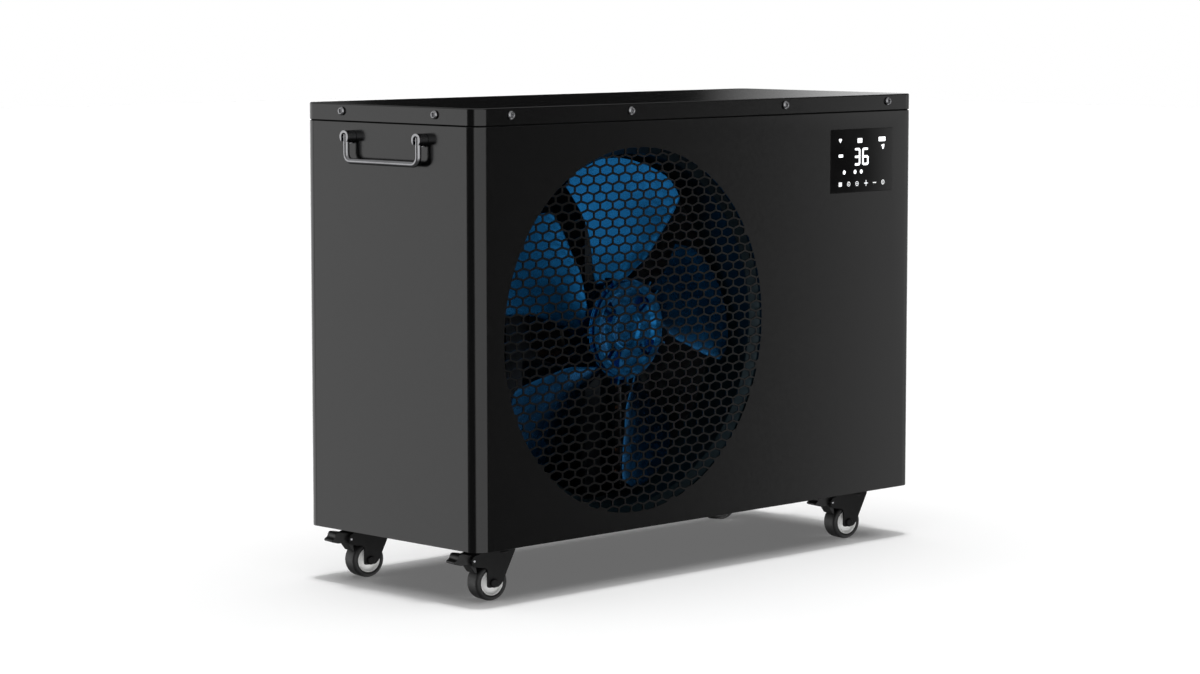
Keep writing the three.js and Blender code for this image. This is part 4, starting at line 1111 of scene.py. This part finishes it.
def add_lamp(name, light, location, direction):
    lamp = bpy.data.objects.new(name, light)
    scene.collection.objects.link(lamp)
    lamp.location = location
    lamp.rotation_mode = "QUATERNION"
    lamp.rotation_quaternion = direction.to_track_quat("-Z", "Y")
    lamp.visible_glossy = False
    lamp.visible_camera = False


def surroundings():
    """White to the camera. What the paint reflects is a ring of soft panels, given by the compass angle."""
    world = bpy.data.worlds.new("studio")
    scene.world = world
    world.use_nodes = True
    tree = world.node_tree
    add, join = tree.nodes.new, tree.links.new
    background = tree.nodes["Background"]
    spread = add("ShaderNodeSeparateXYZ")
    join(add("ShaderNodeTexCoord").outputs["Generated"], spread.inputs["Vector"])
    compass = add("ShaderNodeMath")
    compass.operation = "ARCTAN2"
    join(spread.outputs["Y"], compass.inputs[0])
    join(spread.outputs["X"], compass.inputs[1])
    share = add("ShaderNodeMapRange")
    share.inputs["From Min"].default_value = -math.pi
    share.inputs["From Max"].default_value = math.pi
    join(compass.outputs["Value"], share.inputs["Value"])

    def ring(stops):
        ramp = add("ShaderNodeValToRGB")
        while len(ramp.color_ramp.elements) < len(stops):
            ramp.color_ramp.elements.new(0.5)
        for element, (angle, value) in zip(ramp.color_ramp.elements, stops):
            element.position = (angle + 180) / 360
            element.color = (value, value, value, 1)
        join(share.outputs["Result"], ramp.inputs["Fac"])
        return ramp.outputs["Color"]

    def over(low, high, below, above):
        """One colour below this height of the sky, another above it."""
        height = add("ShaderNodeMapRange")
        height.inputs["From Min"].default_value = low
        height.inputs["From Max"].default_value = high
        join(spread.outputs["Z"], height.inputs["Value"])
        return blend(height.outputs["Result"], below, above)

    def blend(factor, first, second):
        mix = add("ShaderNodeMix")
        mix.data_type = "RGBA"
        join(factor, mix.inputs["Factor"])
        for value, socket in ((first, mix.inputs["A"]), (second, mix.inputs["B"])):
            if isinstance(value, float):
                socket.default_value = (value, value, value, 1)
            else:
                join(value, socket)
        return mix.outputs["Result"]

    # Stops are (degrees round, brightness), with 0 degrees towards +X.
    low = ring([(-180, 0.1), (-75, 0.12), (-57, 0.6), (-42, 1.3), (-25, 1.4), (-10, 0.3), (10, 0.1),
                (180, 0.1)])
    lowered = ring([(-180, 0.1), (-154, 0.4), (-60, 0.35), (-40, 0.08), (180, 0.1)])
    level = ring([(-180, 0.1), (-158, 0.1), (-154, 1.35), (-60, 1.25), (-56, 0.06),
                  (-40.72, 0.06), (-40.58, 1.5), (-34, 1.3), (-26, 0.5), (36, 0.5), (39, 1.4),
                  (40.5, 1.0), (43, 0.0), (50, 0.0), (56, 1.3), (138, 1.4), (142, 0.1), (180, 0.1)])
    raised = ring([(-180, 0.1), (-154, 1.1), (-85, 1.1), (-68, 0.05), (60, 0.05), (110, 0.6), (180, 0.1)])
    lit = over(-0.45, -0.22, lowered, level)
    lit = over(-0.62, -0.5, low, lit)
    lit = over(0.14, 0.26, lit, raised)
    lit = over(0.5, 0.75, lit, 0.55)
    path = add("ShaderNodeLightPath")
    scattered = over(-0.05, 0.05, FROM_BELOW, AMBIENT)
    mirrored = blend(path.outputs["Is Glossy Ray"], scattered, lit)
    join(blend(path.outputs["Is Camera Ray"], mirrored, 1.0), background.inputs["Color"])


def camera():
    """Three-quarter view from the front left, a little above the casing."""
    data = bpy.data.cameras.new("camera")
    data.lens = 100
    data.sensor_width = 36
    data.clip_start, data.clip_end = 0.1, 60
    made = bpy.data.objects.new("camera", data)
    scene.collection.objects.link(made)
    level = math.cos(VIEW_PITCH)
    direction = Vector((math.sin(VIEW_YAW) * level, math.cos(VIEW_YAW) * level, -math.sin(VIEW_PITCH)))
    made.location = VIEW_FROM
    made.rotation_mode = "QUATERNION"
    made.rotation_quaternion = direction.to_track_quat("-Z", "Y")
    scene.camera = made
    scene.view_settings.view_transform = "Standard"


# ---------------------------------------------------------------- assembly
camera()
surroundings()
studio()
front_panel()
back_panel()
side_panel("left", -1)
side_panel("right", 1)
lid()
lid_screws()
display()
handles()
fan()
fan_housing()
coil()
works()
fittings()
for corner in CASTERS:
    caster(corner)
